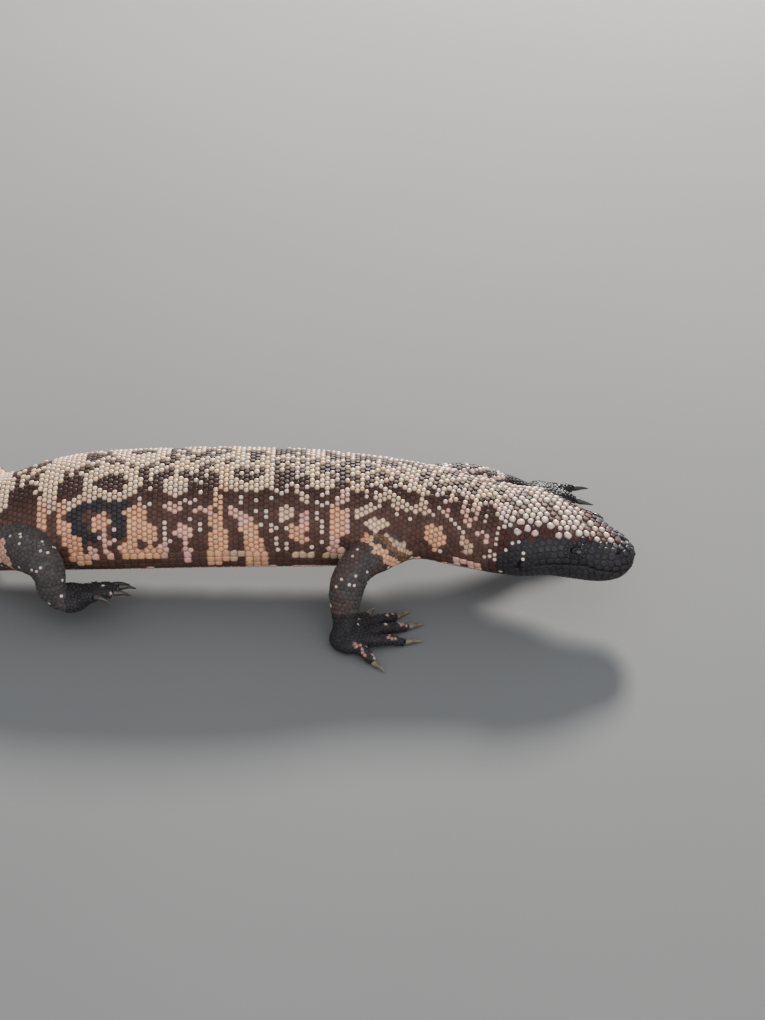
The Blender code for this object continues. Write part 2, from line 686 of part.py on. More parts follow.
def main():
    clear_scene()
    parts = new_collection(COLLECTION_NAME)
    helpers = new_collection("cutters")
    finishes = {
        "torso": material("beaded_trunk_skin", (0.30, 0.17, 0.12), 0.55),
        "tail": material("banded_tail_skin", (0.26, 0.14, 0.10), 0.55),
        "head": material("crown_skin", (0.48, 0.30, 0.22), 0.5),
        "jaw": material("black_jaw_skin", (0.03, 0.03, 0.035), 0.45),
        "leg": material("dark_leg_skin", (0.07, 0.055, 0.055), 0.5),
        "foot": material("black_foot_skin", (0.035, 0.032, 0.035), 0.5),
        "claw": material("pale_horn", (0.45, 0.40, 0.34), 0.35),
        "eye": material("dark_wet_eye", (0.02, 0.015, 0.012), 0.08),
    }
    path = Path(BODY, upright=True)
    cuts = {x: path.length_at_x(x) for x in (TAIL_CUT, VENT, NECK_CUT, HEAD_CUT)}
    beaded = {"bead": BEAD_HEIGHT, "bead_low": BODY_BEADS_FROM}
    tip = loft(path, 0.0, cuts[TAIL_CUT] - HALF_GAP, TAIL_TIP_CORNERS, **beaded)
    lay_on_floor(tip)
    object_from("tail_tip", tip, parts, finishes["tail"])
    base = loft(path, cuts[TAIL_CUT] + HALF_GAP, cuts[VENT] - HALF_GAP, TAIL_CORNERS, **beaded)
    lay_on_floor(base)
    object_from("tail_base", base, parts, finishes["tail"])
    trunk = loft(path, cuts[VENT] + HALF_GAP, cuts[NECK_CUT] - HALF_GAP, TORSO_CORNERS, **beaded)
    torso = object_from("torso", trunk, parts, finishes["torso"])
    throat = loft(path, cuts[NECK_CUT] + HALF_GAP, cuts[HEAD_CUT] - HALF_GAP, NECK_CORNERS, **beaded)
    neck = object_from("neck", throat, parts, finishes["torso"])
    build_head(path, parts, helpers, finishes["head"], finishes["jaw"], finishes["eye"])
    legs = (
        ("right_fore", RIGHT_FORE, "right_hand", RIGHT_HAND, [torso]),
        ("left_fore", LEFT_FORE, "left_hand", LEFT_HAND, [torso, neck]),
        ("right_hind", RIGHT_HIND, "right_foot", RIGHT_FOOT, [torso]),
        ("left_hind", LEFT_HIND, "left_foot", LEFT_FOOT, [torso]),
    )
    for name, stations, foot_name, foot, beside in legs:
        build_leg(name, stations, foot_name, foot, beside, parts, helpers, finishes)
    bpy.data.collections.remove(helpers)
    stand_at_origin(parts)


def stand_at_origin(parts):
    """Hangs every piece on one empty, which brings the middle of the box over the origin."""
    corners = [np.array(corner) for thing in parts.objects for corner in thing.bound_box]
    low = np.min(corners, axis=0)
    high = np.max(corners, axis=0)
    root = bpy.data.objects.new("gila_monster_root", None)
    parts.objects.link(root)
    root.location = (-(low[0] + high[0]) / 2, -(low[1] + high[1]) / 2, 0)
    for thing in list(parts.objects):
        if thing is not root:
            thing.parent = root
            thing.data.shade_smooth()
            thing.data.set_sharp_from_angle(angle=math.radians(50))


main()
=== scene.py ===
"""The looks of a life-size gila monster model: beaded skin, dark face, wet eyes and horn claws."""

import math

import bmesh
import bpy
import numpy as np
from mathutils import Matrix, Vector
from mathutils.bvhtree import BVHTree
from mathutils.kdtree import KDTree


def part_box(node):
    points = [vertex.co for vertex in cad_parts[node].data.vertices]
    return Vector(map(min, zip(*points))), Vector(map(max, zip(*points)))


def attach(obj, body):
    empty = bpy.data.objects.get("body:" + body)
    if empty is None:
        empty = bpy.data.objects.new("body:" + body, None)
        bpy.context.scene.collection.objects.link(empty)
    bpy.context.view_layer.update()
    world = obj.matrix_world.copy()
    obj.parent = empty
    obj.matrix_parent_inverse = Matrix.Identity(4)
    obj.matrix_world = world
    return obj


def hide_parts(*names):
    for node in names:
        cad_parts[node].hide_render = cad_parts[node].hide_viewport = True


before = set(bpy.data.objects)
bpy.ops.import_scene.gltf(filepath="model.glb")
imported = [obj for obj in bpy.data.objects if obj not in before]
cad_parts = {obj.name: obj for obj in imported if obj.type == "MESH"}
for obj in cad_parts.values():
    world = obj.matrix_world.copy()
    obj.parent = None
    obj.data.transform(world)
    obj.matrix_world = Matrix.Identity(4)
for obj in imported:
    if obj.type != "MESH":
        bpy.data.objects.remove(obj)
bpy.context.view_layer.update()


# The camera looks down at the animal's right side from above, as the photograph was taken.
# A long lens at this distance keeps the body's lines nearly parallel.
PICTURE_HEIGHT = 0.4998
camera_distance = 1.5
camera_down = math.radians(32)
camera_aim = Vector((0.1063, -0.0005, 0.0352))
camera_data = bpy.data.cameras.new("camera")
camera_data.lens = camera_data.sensor_width * camera_distance / PICTURE_HEIGHT
camera = bpy.data.objects.new("camera", camera_data)
toward_camera = Vector((0, -math.cos(camera_down), math.sin(camera_down)))
camera.location = camera_aim + toward_camera * camera_distance
camera.rotation_euler = (math.pi / 2 - camera_down, 0, 0)
bpy.context.scene.collection.objects.link(camera)
bpy.context.scene.camera = camera


# A plain pale floor of matt board carries the model. It is one flat sheet with a little cloudy
# tone, and it isn't part of the model.
def new_material(name):
    """A material with its shader, its node tree and a reader of Object coordinates."""
    made = bpy.data.materials.new(name)
    made.use_nodes = True
    tree = made.node_tree
    shader = tree.nodes["Principled BSDF"]
    place = tree.nodes.new("ShaderNodeTexCoord").outputs["Object"]
    return made, tree, shader, place


def noise_at(tree, place, scale, detail=2.0):
    found = tree.nodes.new("ShaderNodeTexNoise")
    found.inputs["Scale"].default_value = scale
    found.inputs["Detail"].default_value = detail
    tree.links.new(place, found.inputs["Vector"])
    return found.outputs["Fac"]


def ramp_over(tree, value, stops):
    """Turns a value into a colour or a grey through the stops (position, colour)."""
    found = tree.nodes.new("ShaderNodeValToRGB")
    elements = found.color_ramp.elements
    while len(elements) < len(stops):
        elements.new(0.5)
    for element, (position, colour) in zip(elements, stops):
        element.position = position
        element.color = (*colour, 1.0)
    tree.links.new(value, found.inputs["Fac"])
    return found.outputs["Color"]


def cloudy_tone(tree, place, scale, low_tone, high_tone, detail=2.0):
    """A soft mix of two tones, in clouds of this scale."""
    return ramp_over(tree, noise_at(tree, place, scale, detail), [(0.3, low_tone), (0.7, high_tone)])


def bump_on(tree, shader, height, strength, distance):
    found = tree.nodes.new("ShaderNodeBump")
    found.inputs["Strength"].default_value = strength
    found.inputs["Distance"].default_value = distance
    tree.links.new(height, found.inputs["Height"])
    tree.links.new(found.outputs["Normal"], shader.inputs["Normal"])


def object_of(form, name, finishes):
    mesh = bpy.data.meshes.new(name)
    form.to_mesh(mesh)
    form.free()
    made = bpy.data.objects.new(name, mesh)
    bpy.context.scene.collection.objects.link(made)
    for finish in finishes:
        mesh.materials.append(finish)
    return made


floor_paint, tree, shader, place = new_material("matt_floor_board")
cloud = cloudy_tone(tree, place, 3.0, (0.142, 0.143, 0.143), (0.158, 0.159, 0.159))
tree.links.new(cloud, shader.inputs["Base Color"])
shader.inputs["Roughness"].default_value = 0.9
form = bmesh.new()
bmesh.ops.create_grid(form, x_segments=2, y_segments=2, size=4.0)
object_of(form, "floor", [floor_paint])


# Plain soft studio light: a large panel high behind the animal, which lights its back and lets
# the shadow fall toward the camera, a weaker one in front, and a pale room all round.
def light_panel(name, place, aim, size, power, colour):
    data = bpy.data.lights.new(name, "AREA")
    data.shape = "DISK"
    data.size = size
    data.energy = power
    data.color = colour
    made = bpy.data.objects.new(name, data)
    made.location = place
    made.rotation_euler = (Vector(aim) - Vector(place)).to_track_quat("-Z", "Y").to_euler()
    bpy.context.scene.collection.objects.link(made)


light_panel("back_panel", (0.40, 1.60, 0.78), (0.05, 0, 0), 0.30, 94.0, (1.0, 0.96, 0.90))
light_panel("front_panel", (0.35, -1.7, 1.1), (0.0, 0, 0.03), 2.4, 29.0, (0.97, 0.98, 1.0))
room = bpy.data.worlds.new("pale_room")
room.use_nodes = True
room.node_tree.nodes["Background"].inputs["Color"].default_value = (0.90, 0.95, 1.0, 1.0)
room.node_tree.nodes["Background"].inputs["Strength"].default_value = 0.76
bpy.context.scene.world = room


# The skin is one soft leather cover without a seam, drawn over head, jaw, neck, trunk, tail and
# legs. It is made from the solids' own surfaces, joined, and lies under the scales by their depth.
MM = 0.001
MERGE_REACH = 0.00001
SKIN_SWELL = 0.28
SKIN_VOXEL = 1.0
flesh = sorted(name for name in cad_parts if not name.startswith(("eye_", "claw_")))
cover = bmesh.new()
for name in flesh:
    part = bmesh.new()
    part.from_mesh(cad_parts[name].data)
    bmesh.ops.remove_doubles(part, verts=part.verts, dist=MERGE_REACH)
    part.normal_update()
    for vertex in part.verts:
        vertex.co += vertex.normal * SKIN_SWELL * MM
    joined = bpy.data.meshes.new("joined")
    part.to_mesh(joined)
    part.free()
    cover.from_mesh(joined)
skin = object_of(cover, "beaded_hide", [])
rebuild = skin.modifiers.new("one_surface", "REMESH")
rebuild.mode = "VOXEL"
rebuild.voxel_size = SKIN_VOXEL * MM
graph = bpy.context.evaluated_depsgraph_get()
skin.data = bpy.data.meshes.new_from_object(skin.evaluated_get(graph))
skin.modifiers.clear()

# The middle line of the body, from the tail's tip to the snout, tells how far along and how far
# round the animal any place of the skin is: x, y, z, half width, height above, depth below, in mm.
SPINE = (
    (-228.3, 18.2, 6.5, 3.4, 3.4, 3.4),
    (-218.8, 16.2, 9.3, 9.4, 9.0, 9.3),
    (-202.8, 12.7, 12.0, 12.4, 11.8, 12.3),
    (-177.8, 7.2, 14.8, 15.6, 14.8, 15.2),
    (-152.8, 2.2, 17.0, 18.0, 17.0, 17.5),
    (-127.8, -1.3, 19.0, 19.6, 18.4, 19.2),
    (-104.8, -2.8, 22.8, 21.6, 19.6, 19.0),
    (-82.5, -3.8, 28.4, 25.8, 21.4, 19.8),
    (-57.8, -3.8, 33.8, 30.0, 24.4, 23.4),
    (-33.5, -3.8, 36.6, 33.0, 25.6, 25.0),
    (30.2, -3.8, 38.8, 34.5, 25.6, 25.0),
    (79.2, -3.8, 38.0, 33.0, 24.6, 24.0),
    (103.7, -3.8, 36.6, 31.0, 23.2, 22.4),
    (121.2, -5.8, 37.4, 27.6, 21.0, 19.8),
    (131.3, -7.6, 37.4, 26.3, 20.5, 19.4),
    (143.3, -10.4, 35.9, 26.2, 20.4, 19.0),
    (155.3, -14.0, 34.3, 26.0, 20.2, 17.6),
    (169.3, -18.5, 33.7, 26.2, 19.0, 17.0),
    (177.8, -21.2, 33.7, 25.7, 17.8, 15.8),
    (192.0, -25.6, 33.7, 21.9, 15.0, 13.2),
    (202.3, -29.2, 32.6, 18.9, 12.9, 12.8),
    (211.6, -32.2, 31.2, 15.9, 10.5, 12.8),
    (219.0, -34.6, 30.6, 12.6, 8.1, 11.0),
    (223.9, -36.1, 30.5, 9.4, 5.9, 8.0),
    (227.3, -37.1, 31.4, 3.3, 2.1, 2.4),
)
TURN_POWER = 1.1
LINE_STEP = 0.5
SOFT_STEPS = 10
stations = np.array(SPINE)
station_at = np.concatenate([[0], np.cumsum(np.hypot(*np.diff(stations[:, :2], axis=0).T))])
body_length = station_at[-1]
line_at = np.arange(0, body_length, LINE_STEP)
line = np.stack([np.interp(line_at, station_at, column) for column in stations.T], axis=1)
padded_line = np.concatenate([line[:1].repeat(SOFT_STEPS, 0), line, line[-1:].repeat(SOFT_STEPS, 0)])
softening = np.ones(2 * SOFT_STEPS + 1) / (2 * SOFT_STEPS + 1)
line = np.stack([np.convolve(column, softening, "valid") for column in padded_line.T], axis=1)
line_ahead = np.gradient(line[:, :2], axis=0)
line_ahead /= np.linalg.norm(line_ahead, axis=1, keepdims=True)


def read_line(values, along):
    """Reads one column or more of the line's values, at lengths measured back from the snout."""
    columns = values.reshape(len(line_at), -1).T
    return np.stack([np.interp(body_length - along, line_at, column) for column in columns], axis=-1)


def line_here(along):
    """The middle line's values and its direction at one length back from the snout."""
    return read_line(line, np.array([along]))[0], read_line(line_ahead, np.array([along]))[0]


def body_radius(middle):
    """The mean radius of the body's section, from the line's values there."""
    return (middle[..., 3] + (middle[..., 4] + middle[..., 5]) / 2) / 2


def chart_of(points):
    """Along from the snout, around from the mid-back with the right side positive, the turn in
    degrees, and how far outside the body's section a place is, in mm."""
    along = body_length - np.interp(points[:, 0], line[:, 0], line_at)
    for _ in range(4):
        middle = read_line(line, along)
        ahead = read_line(line_ahead, along)
        off = points[:, :2] - middle[:, :2]
        along = np.clip(along - (off * ahead).sum(1), 0, body_length)
    left = off[:, 1] * ahead[:, 0] - off[:, 0] * ahead[:, 1]
    up = points[:, 2] - middle[:, 2]
    height = np.where(up > 0, middle[:, 4], middle[:, 5])
    across_share = np.abs(left) / middle[:, 3]
    up_share = np.abs(up) / height
    turn = np.arctan2(across_share**TURN_POWER, np.sign(up) * up_share**TURN_POWER) * -np.sign(left)
    radius = body_radius(middle)
    outside = (np.hypot(across_share, up_share) - 1) * radius
    return along, radius * turn, np.degrees(turn), outside


# Each leg's middle line from its root to the wrist or ankle, with its radius. A place of the skin
# belongs to the leg, hand, foot or body whose own surface it lies nearest to.
LEG_LINES = {
    "right_fore": (
        (114, -23, 31, 10), (96, -46, 34.5, 9), (90.7, -53, 30, 8.7),
        (88.2, -58, 15.5, 7), (88.2, -61, 10, 6),
    ),
    "left_fore": ((110, 15, 30.5, 10), (135, 32, 32.3, 8.6), (160, 35, 28.5, 7.6), (178, 37, 22, 5.8)),
    "right_hind": ((-78, -18, 28, 12.4), (-60, -42, 35.8, 10.2), (-52, -51, 28, 7.8), (-52, -51, 19, 6)),
    "left_hind": ((-77, 10, 25.5, 12.4), (-89, 38, 24.5, 10.4), (-95, 54.7, 16.5, 8.4), (-92, 62, 8.8, 6.2)),
}
DIGIT_RADIUS = 2.8
PALM_RADIUS = 7.5
WRIST_SHARE, KNUCKLE_SHARE = 0.45, 0.55
BODY, LEG, FOOT = 0, 1, 2


def from_segment(points, start, end):
    """Distance to a straight piece and the share of the way along it."""
    along = end - start
    share = np.clip((points - start) @ along / (along @ along), 0, 1)
    return np.linalg.norm(points - start - share[:, None] * along, axis=1), share


def points_of(mesh):
    found = np.empty(len(mesh.vertices) * 3)
    mesh.vertices.foreach_get("co", found)
    return found.reshape(-1, 3) / MM


digit_lines = {}
for leg, stops in LEG_LINES.items():
    wrist = np.array(stops[-1][:3])
    roots = []
    for number in range(1, 6):
        claw = points_of(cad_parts[f"claw_{leg}_{number}"].data)
        roots.append(claw[np.argmin(np.linalg.norm(claw - wrist, axis=1))])
    knuckles = np.mean(roots, axis=0)
    palm = wrist * WRIST_SHARE + knuckles * KNUCKLE_SHARE
    digit_lines[leg] = (palm, roots)


def place_in_body(points):
    """For each place: body, leg or foot, which leg, and the share of the way down it."""
    outside = chart_of(points)[3]
    kind = np.full(len(points), BODY)
    which = np.full(len(points), -1)
    share = np.zeros(len(points))
    nearest = outside.copy()
    for number, (leg, stops) in enumerate(LEG_LINES.items()):
        for k in range(len(stops) - 1):
            start, end = np.array(stops[k]), np.array(stops[k + 1])
            distance, part = from_segment(points, start[:3], end[:3])
            clear = distance - (start[3] + (end[3] - start[3]) * part)
            closer = clear < nearest
            nearest[closer] = clear[closer]
            kind[closer] = LEG
            which[closer] = number
            share[closer] = (k + part[closer]) / (len(stops) - 1)
        palm, roots = digit_lines[leg]
        found = [(np.linalg.norm(points - palm, axis=1) - PALM_RADIUS, np.zeros(len(points)))]
        for root in roots:
            distance, part = from_segment(points, palm, root)
            found.append((distance - DIGIT_RADIUS, part))
        for clear, part in found:
            closer = clear < nearest
            nearest[closer] = clear[closer]
            kind[closer] = FOOT
            which[closer] = number
            share[closer] = part[closer]
    return kind, which, share


# The eyes' middles with their outward, forward and upward directions, the line of the mouth as
# back from the snout and height above the middle line, the nostrils and the ears, all in mm.
EYE_OUT = (0.777, 0.63)
LID_OPEN = (3.1, 1.9)
MOUTH = (
    (-6, -2.8), (4, -2.3), (8, -1.6), (12, -1.1), (16, 0.1), (20, 1.6), (28, 0.9), (35, 0.1), (43, -0.6),
)
MOUTH_CORNER = 43
NOSTRILS = ((219.3, -41.6, 37.0), (222.3, -30.8, 37.0))
NOSTRIL_WIDE = 1.5
EARS = ((171.2, -46.9, 32.2), (186.9, 3.8, 32.2))
eye_middles = []
for name, side_sign in (("eye_right", -1), ("eye_left", 1)):
    low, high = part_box(name)
    middle = (low + high) / 2 / MM
    back = chart_of(np.array([middle]))[0]
    ahead = read_line(line_ahead, back)[0]
    outward = Vector((-ahead[1] * side_sign * EYE_OUT[0], ahead[0] * side_sign * EYE_OUT[0], EYE_OUT[1]))
    forward = Vector((*ahead, 0))
    over = outward.cross(forward) * side_sign * -1
    eye_middles.append((name, middle, outward, forward, over))


def above_mouth(points, along):
    """How far above the line of the mouth each place of the head is."""
    return points[:, 2] - read_line(line, along)[:, 2] - np.interp(along, *zip(*MOUTH))


# The cover is smoothed, most on the trunk and hardly at all on toes and face, and then drawn in by
# the depth of the scales that stand on it. The mouth is a crease in it, each eye an opening and
# each nostril a pit.
BODY_ROUNDS, LEG_ROUNDS, CROWN_ROUNDS, FACE_ROUNDS, TOE_ROUNDS = 48, 22, 20, 9, 5
BODY_COAT, LEG_COAT, HEAD_COAT, FOOT_COAT = 0.62, 0.45, 0.4, 0.3
COAT_SHARE = 0.8
HEAD_COVER_END = 56
CROWN_TURN = 48
MOUTH_HALF, MOUTH_DEPTH = 0.8, 1.5
EYE_REACH = 8
NOSTRIL_RIM, NOSTRIL_DEPTH = 0.5, 2.4
skin_points = points_of(skin.data)
skin_kind, _, _ = place_in_body(skin_points)
skin_along, _, skin_turn, _ = chart_of(skin_points)
on_head = (skin_kind == BODY) & (skin_along < HEAD_COVER_END)
smoothings = np.where(skin_kind == BODY, BODY_ROUNDS, np.where(skin_kind == LEG, LEG_ROUNDS, TOE_ROUNDS))
head_rounds = np.where(np.abs(skin_turn) < CROWN_TURN, CROWN_ROUNDS, FACE_ROUNDS)
smoothings = np.where(on_head, head_rounds, smoothings)
stages = sorted({0, BODY_ROUNDS, LEG_ROUNDS, CROWN_ROUNDS, FACE_ROUNDS, TOE_ROUNDS})
form = bmesh.new()
form.from_mesh(skin.data)
form.verts.ensure_lookup_table()
for rounds, next_rounds in zip(stages, stages[1:]):
    chosen = [form.verts[k] for k in np.flatnonzero(smoothings > rounds)]
    for _ in range(next_rounds - rounds):
        bmesh.ops.smooth_vert(
            form, verts=chosen, factor=0.5, use_axis_x=True, use_axis_y=True, use_axis_z=True
        )
form.normal_update()
coat_depth = np.where(skin_kind == BODY, BODY_COAT, np.where(skin_kind == LEG, LEG_COAT, FOOT_COAT))
coat_depth = np.where(on_head, HEAD_COAT, coat_depth) + SKIN_SWELL
crease = np.exp(-((above_mouth(skin_points, skin_along) / MOUTH_HALF) ** 2))
coat_depth += crease * (skin_along < MOUTH_CORNER) * on_head * MOUTH_DEPTH
for vertex, depth in zip(form.verts, coat_depth):
    vertex.co -= vertex.normal * float(depth) * MM * COAT_SHARE
for _, middle, outward, forward, over in eye_middles:
    for vertex in form.verts:
        off = vertex.co / MM - middle
        if off.length < EYE_REACH and off.dot(outward) > 0.5:
            share = math.hypot(off.dot(forward) / LID_OPEN[0], off.dot(over) / LID_OPEN[1])
            if 0.05 < share < 1:
                drawn = (forward * off.dot(forward) + over * off.dot(over)) * (1 / share - 1)
                vertex.co += drawn * MM
nostrils = []
for spot in NOSTRILS:
    nostril = skin_points[np.argmin(np.linalg.norm(skin_points - np.array(spot), axis=1))]
    nostrils.append(nostril)
    for vertex in form.verts:
        reach = (vertex.co / MM - Vector(nostril)).length / (NOSTRIL_WIDE + NOSTRIL_RIM)
        if reach < 1:
            vertex.co -= vertex.normal * NOSTRIL_DEPTH * (1 - reach**3) * MM
form.to_mesh(skin.data)
form.free()
skin.data.shade_smooth()


# The markings are pale fields of orange, cream and pink on a brown-black ground. The pale fields of
# the right flank are strokes and rings, which the left flank repeats a little shifted. A place is
# given as along from the snout and around from the mid-back, in mm, and each tint is the skin's own,
# save the lighter cream of the back, partly a painted highlight, and the near black of the openings,
# a painted shade.
CREAM, ORANGE, PINK, TAN = (0.83, 0.575, 0.42), (0.78, 0.40, 0.22), (0.77, 0.43, 0.34), (0.60, 0.40, 0.27)
LONE, SPECK = (0.80, 0.60, 0.50), (0.66, 0.54, 0.47)
# The back's cream is yellower and lighter, partly its own tint and partly a painted highlight.
LIT_YELLOW_CREAM = (0.95, 0.68, 0.42)
CROWN_PINK, TEMPLE_PINK, TEMPLE_RED = (0.97, 0.70, 0.57), (0.78, 0.54, 0.46), (0.072, 0.031, 0.027)
GROUND = (0.098, 0.053, 0.042)
FRESH_BLACK = (0.030, 0.0275, 0.030)
LEG_GREY, LEG_BROWN, MOTTLE = (0.076, 0.067, 0.064), (0.084, 0.059, 0.053), (0.66, 0.50, 0.40)
TOE_PINK, TOE_SPECK, THIGH_PINK = (0.34, 0.19, 0.165), (0.45, 0.34, 0.30), (0.60, 0.33, 0.22)
# The mouth's crease, nostril pits, ears and eye rims are painted near black, a painted shade in their
# hollows.
OPENING_SHADE_BLACK = (0.006, 0.005, 0.006)
DARK_BELOW = 0.25
# The strokes of each tint have two ends and a half width.
STROKES = (
    (CREAM, (
        (311, 5, 311, 13, 4.2), (287, -2, 287, 11, 5.8), (287, 11, 284, 21, 3.2), (268, 19, 277, 22, 2.6),
        (225, 14, 226, 14, 5.8), (218, 2, 224, 2, 2.1), (199, 15, 181, 13, 3.1), (155, 11, 156, 11, 5.5),
        (172, 28, 172, 28, 4.8), (167, 15, 163, 21, 1.9), (121, 13, 116, 18, 2.8), (116, 18, 111, 19, 3.0),
        (111, 19, 101, 19, 2.5), (101, 19, 102, 10, 2.3), (104, 9, 112, 9, 2.0), (121, 13, 129, 20, 2.8),
        (129, 20, 136, 26, 3.0), (131, 31, 123, 30, 3.3), (301, -1, 301, -1, 3.2),
    )),
    (ORANGE, (
        (290, 19, 290, 32, 2.9), (280, 21, 279, 29, 3.1), (279, 29, 276, 41, 3.2), (274, 42, 271, 54, 4.0),
        (261, 32, 261, 33, 5.0), (244, 28, 242, 37, 5.2), (242, 37, 241, 43, 6.9), (247, 49, 235, 50, 5.0),
        (200, -3, 202, 14, 2.5), (202, 14, 205, 25, 2.6), (205, 25, 206, 34, 2.9), (204, 41, 204, 48, 4.5),
        (204, 48, 206, 58, 5.3), (190, 37, 188, 44, 4.3), (188, 44, 186, 58, 5.0), (165, 39, 166, 39, 5.1),
        (148, 25, 147, 39, 3.2), (94, 32, 95, 32, 5.8), (94, 36, 94, 37, 2.9),
    )),
    (PINK, (
        (266, 46, 265, 54, 2.0), (259, 41, 258, 51, 1.9), (231, 48, 231, 49, 3.2), (251, 47, 251, 48, 2.4),
        (224, 26, 227, 26, 3.1), (226, 24, 225, 24, 1.5), (221, 38, 221, 41, 4.0), (220, 48, 220, 55, 2.4),
        (214, 27, 207, 29, 1.4), (195, 29, 191, 34, 3.6), (163, 30, 163, 34, 2.6), (143, 25, 143, 36, 1.5),
        (142, 11, 146, 21, 2.4), (142, 10, 138, 13, 2.0), (138, 13, 132, 14, 1.5), (149, 42, 148, 47, 3.2),
        (92, 12, 87, 10, 1.6), (90, 8, 89, 10, 1.4), (91, 18, 88, 17, 1.5), (89, 19, 88, 19, 1.4),
        (81, 13, 78, 19, 2.4), (76, 10, 75, 17, 2.1), (72, 24, 68, 23, 1.5), (68, 24, 67, 28, 1.9),
        (82, 44, 82, 45, 3.8), (74, 42, 74, 49, 3.6), (298, 31, 300, 31, 2.0),
    )),
    (TAN, (
        (197, 54, 192, 53, 2.6), (167, 53, 162, 52, 2.6), (151, 51, 147, 52, 3.1), (78, 30, 76, 33, 3.6),
        (66, 6, 60, 16, 2.4),
    )),
)
# A ring has a middle, two half sizes, the width of its band and a tint.
RINGS = (
    (256, 11, 14.5, 10.3, 5.3, CREAM),
    (190, 6, 13.0, 8.2, 3.3, CREAM),
)
# A hole is a dark spot in a pale field, with its radius. A dot is one lone pale bead.
HOLES = (
    (226, 15, 1.3), (241, 45, 2.0), (78, 15, 1.5), (256, 12, 4.4),
)
DOTS = (
    (192, 7), (188, 6), (193, 21), (186, 23), (193, 25), (187, 27), (181, 27), (181, 30),
    (184, 35), (180, 36), (179, 38), (176, 37), (173, 36), (177, 41), (176, 44), (172, 45),
    (175, 49), (171, 48), (177, 18), (174, 17), (173, 14), (169, 13), (171, 16), (168, 9),
    (166, 5), (164, 7), (162, 4), (161, -1), (156, 3), (165, 1), (171, 0), (178, -1),
    (163, 14), (151, 17), (158, 21), (153, 21), (155, 19), (154, 24), (157, 27), (155, 32),
    (154, 35), (154, 37), (157, 30), (159, 45), (156, 44), (148, 8), (151, 4), (148, 5),
    (134, 17), (128, 13), (126, 9), (119, 8), (130, 10), (108, 24), (115, 24), (179, 21),
    (241, 1), (235, 0), (231, 3), (235, 6), (236, 10), (238, 16), (243, 21), (236, 23),
    (240, 24), (217, 7), (214, 6), (210, 5), (215, 10), (211, 9), (213, 13), (213, 17),
    (215, 21), (219, 22), (217, 24), (209, 0), (214, 1), (231, 33), (231, 36), (230, 39),
    (229, 42), (226, 44), (217, 32), (213, 36), (213, 39), (276, 2), (253, 36), (255, 41),
    (262, 41), (97, 10), (97, 6), (100, 5), (102, 4), (95, 8), (90, 4), (87, 3),
    (88, 6), (84, 2), (82, 4), (82, 7), (97, 20), (94, 16), (87, 22), (84, 23),
    (82, 25), (79, 24), (70, 5), (72, 8), (69, 14), (69, 17), (70, 21), (64, 21),
    (61, 19), (62, 23), (55, 19), (56, 22), (53, 21), (63, 26), (61, 28), (59, 29),
    (65, 32), (63, 31), (68, 35), (66, 34), (64, 36), (68, 45), (90, 43), (49, 27),
    (48, 29),
)
# The temple has large pale scales, given with their radius, above the black of the face.
TEMPLE_DOTS = (
    (53, 12, 2.0), (53, 17, 1.5), (49, 14, 2.0), (45, 10, 2.5), (39, 9, 2.1), (45, 15, 1.5),
    (34, 12, 1.6), (30, 10, 1.5),
)
# Freshly shed skin on the flank is black, in bars along these chains of places.
BLACK_RADIUS = 3.6
BLACK_BARS = (
    ((274, 27), (272, 23), (268, 22), (262, 23), (254, 24), (247, 25)),
    ((274, 27), (272, 33), (270, 37), (266, 40)),
    ((253, 26), (251, 31), (251, 39)),
)
NECK_FROM, HEAD_END = 62, 64
SHOULDER_AT = 135
TAIL_FROM = 322
TAIL_BAND = 27.0
BACK_HALF_FRONT, BACK_HALF_REAR = 8.5, 6.5
BELLY_TURN = 126
# The black of the face begins at these turns from the mid-back, in degrees at a place along, and
# the dusky temple at those.
FACE_EDGE = (
    (0, 0), (5, 4), (11, 12), (16, 23), (21, 29), (26, 38), (31, 42), (44, 50), (54, 60), (61, 78), (64, 180),
)
CROWN_EDGE = (
    (0, 0), (11, 10), (16, 20), (21, 25), (26, 31), (31, 30), (39, 27), (46, 27), (52, 33), (58, 46),
    (66, 60),
)
# A bar crosses the upper arm along the line between two places in space, with a half width and tint.
ARM_BARS = (
    ((97.7, -34.8, 41.6), (111.0, -43.7, 32.4), 2.0, ORANGE),
    ((103.0, -33.0, 43.0), (114.5, -38.0, 33.8), 1.6, (0.20, 0.11, 0.06)),
    ((106.0, -33.3, 43.2), (117.9, -35.1, 33.8), 1.5, TAN),
    ((114.0, -30.6, 47.3), (121.5, -33.0, 39.8), 1.7, (0.44, 0.35, 0.28)),
)
# The thigh has one pale field round this place, with its radius.
THIGH_FIELD, THIGH_RADIUS = (-79, -37, 34), 8


def wave_noise(a, b, size, seed):
    """A smooth, repeatable value from -1 to 1 over two coordinates in mm."""
    draw = np.random.default_rng(seed)
    found = np.zeros(np.shape(a))
    for _ in range(6):
        turn, shift = draw.uniform(0, 2 * math.pi, 2)
        pace = 2 * math.pi / (size * draw.uniform(0.7, 1.5))
        found += np.sin((a * math.cos(turn) + b * math.sin(turn)) * pace + shift)
    return found / 2.6


def from_stroke(along, around, start_along, start_around, end_along, end_around):
    """Distance over the flank to a straight stroke between two places."""
    run_along, run_around = end_along - start_along, end_around - start_around
    off_along, off_around = along - start_along, around - start_around
    share = (off_along * run_along + off_around * run_around) / max(run_along**2 + run_around**2, 0.01)
    share = np.clip(share, 0, 1)
    return np.hypot(off_along - share * run_along, off_around - share * run_around)


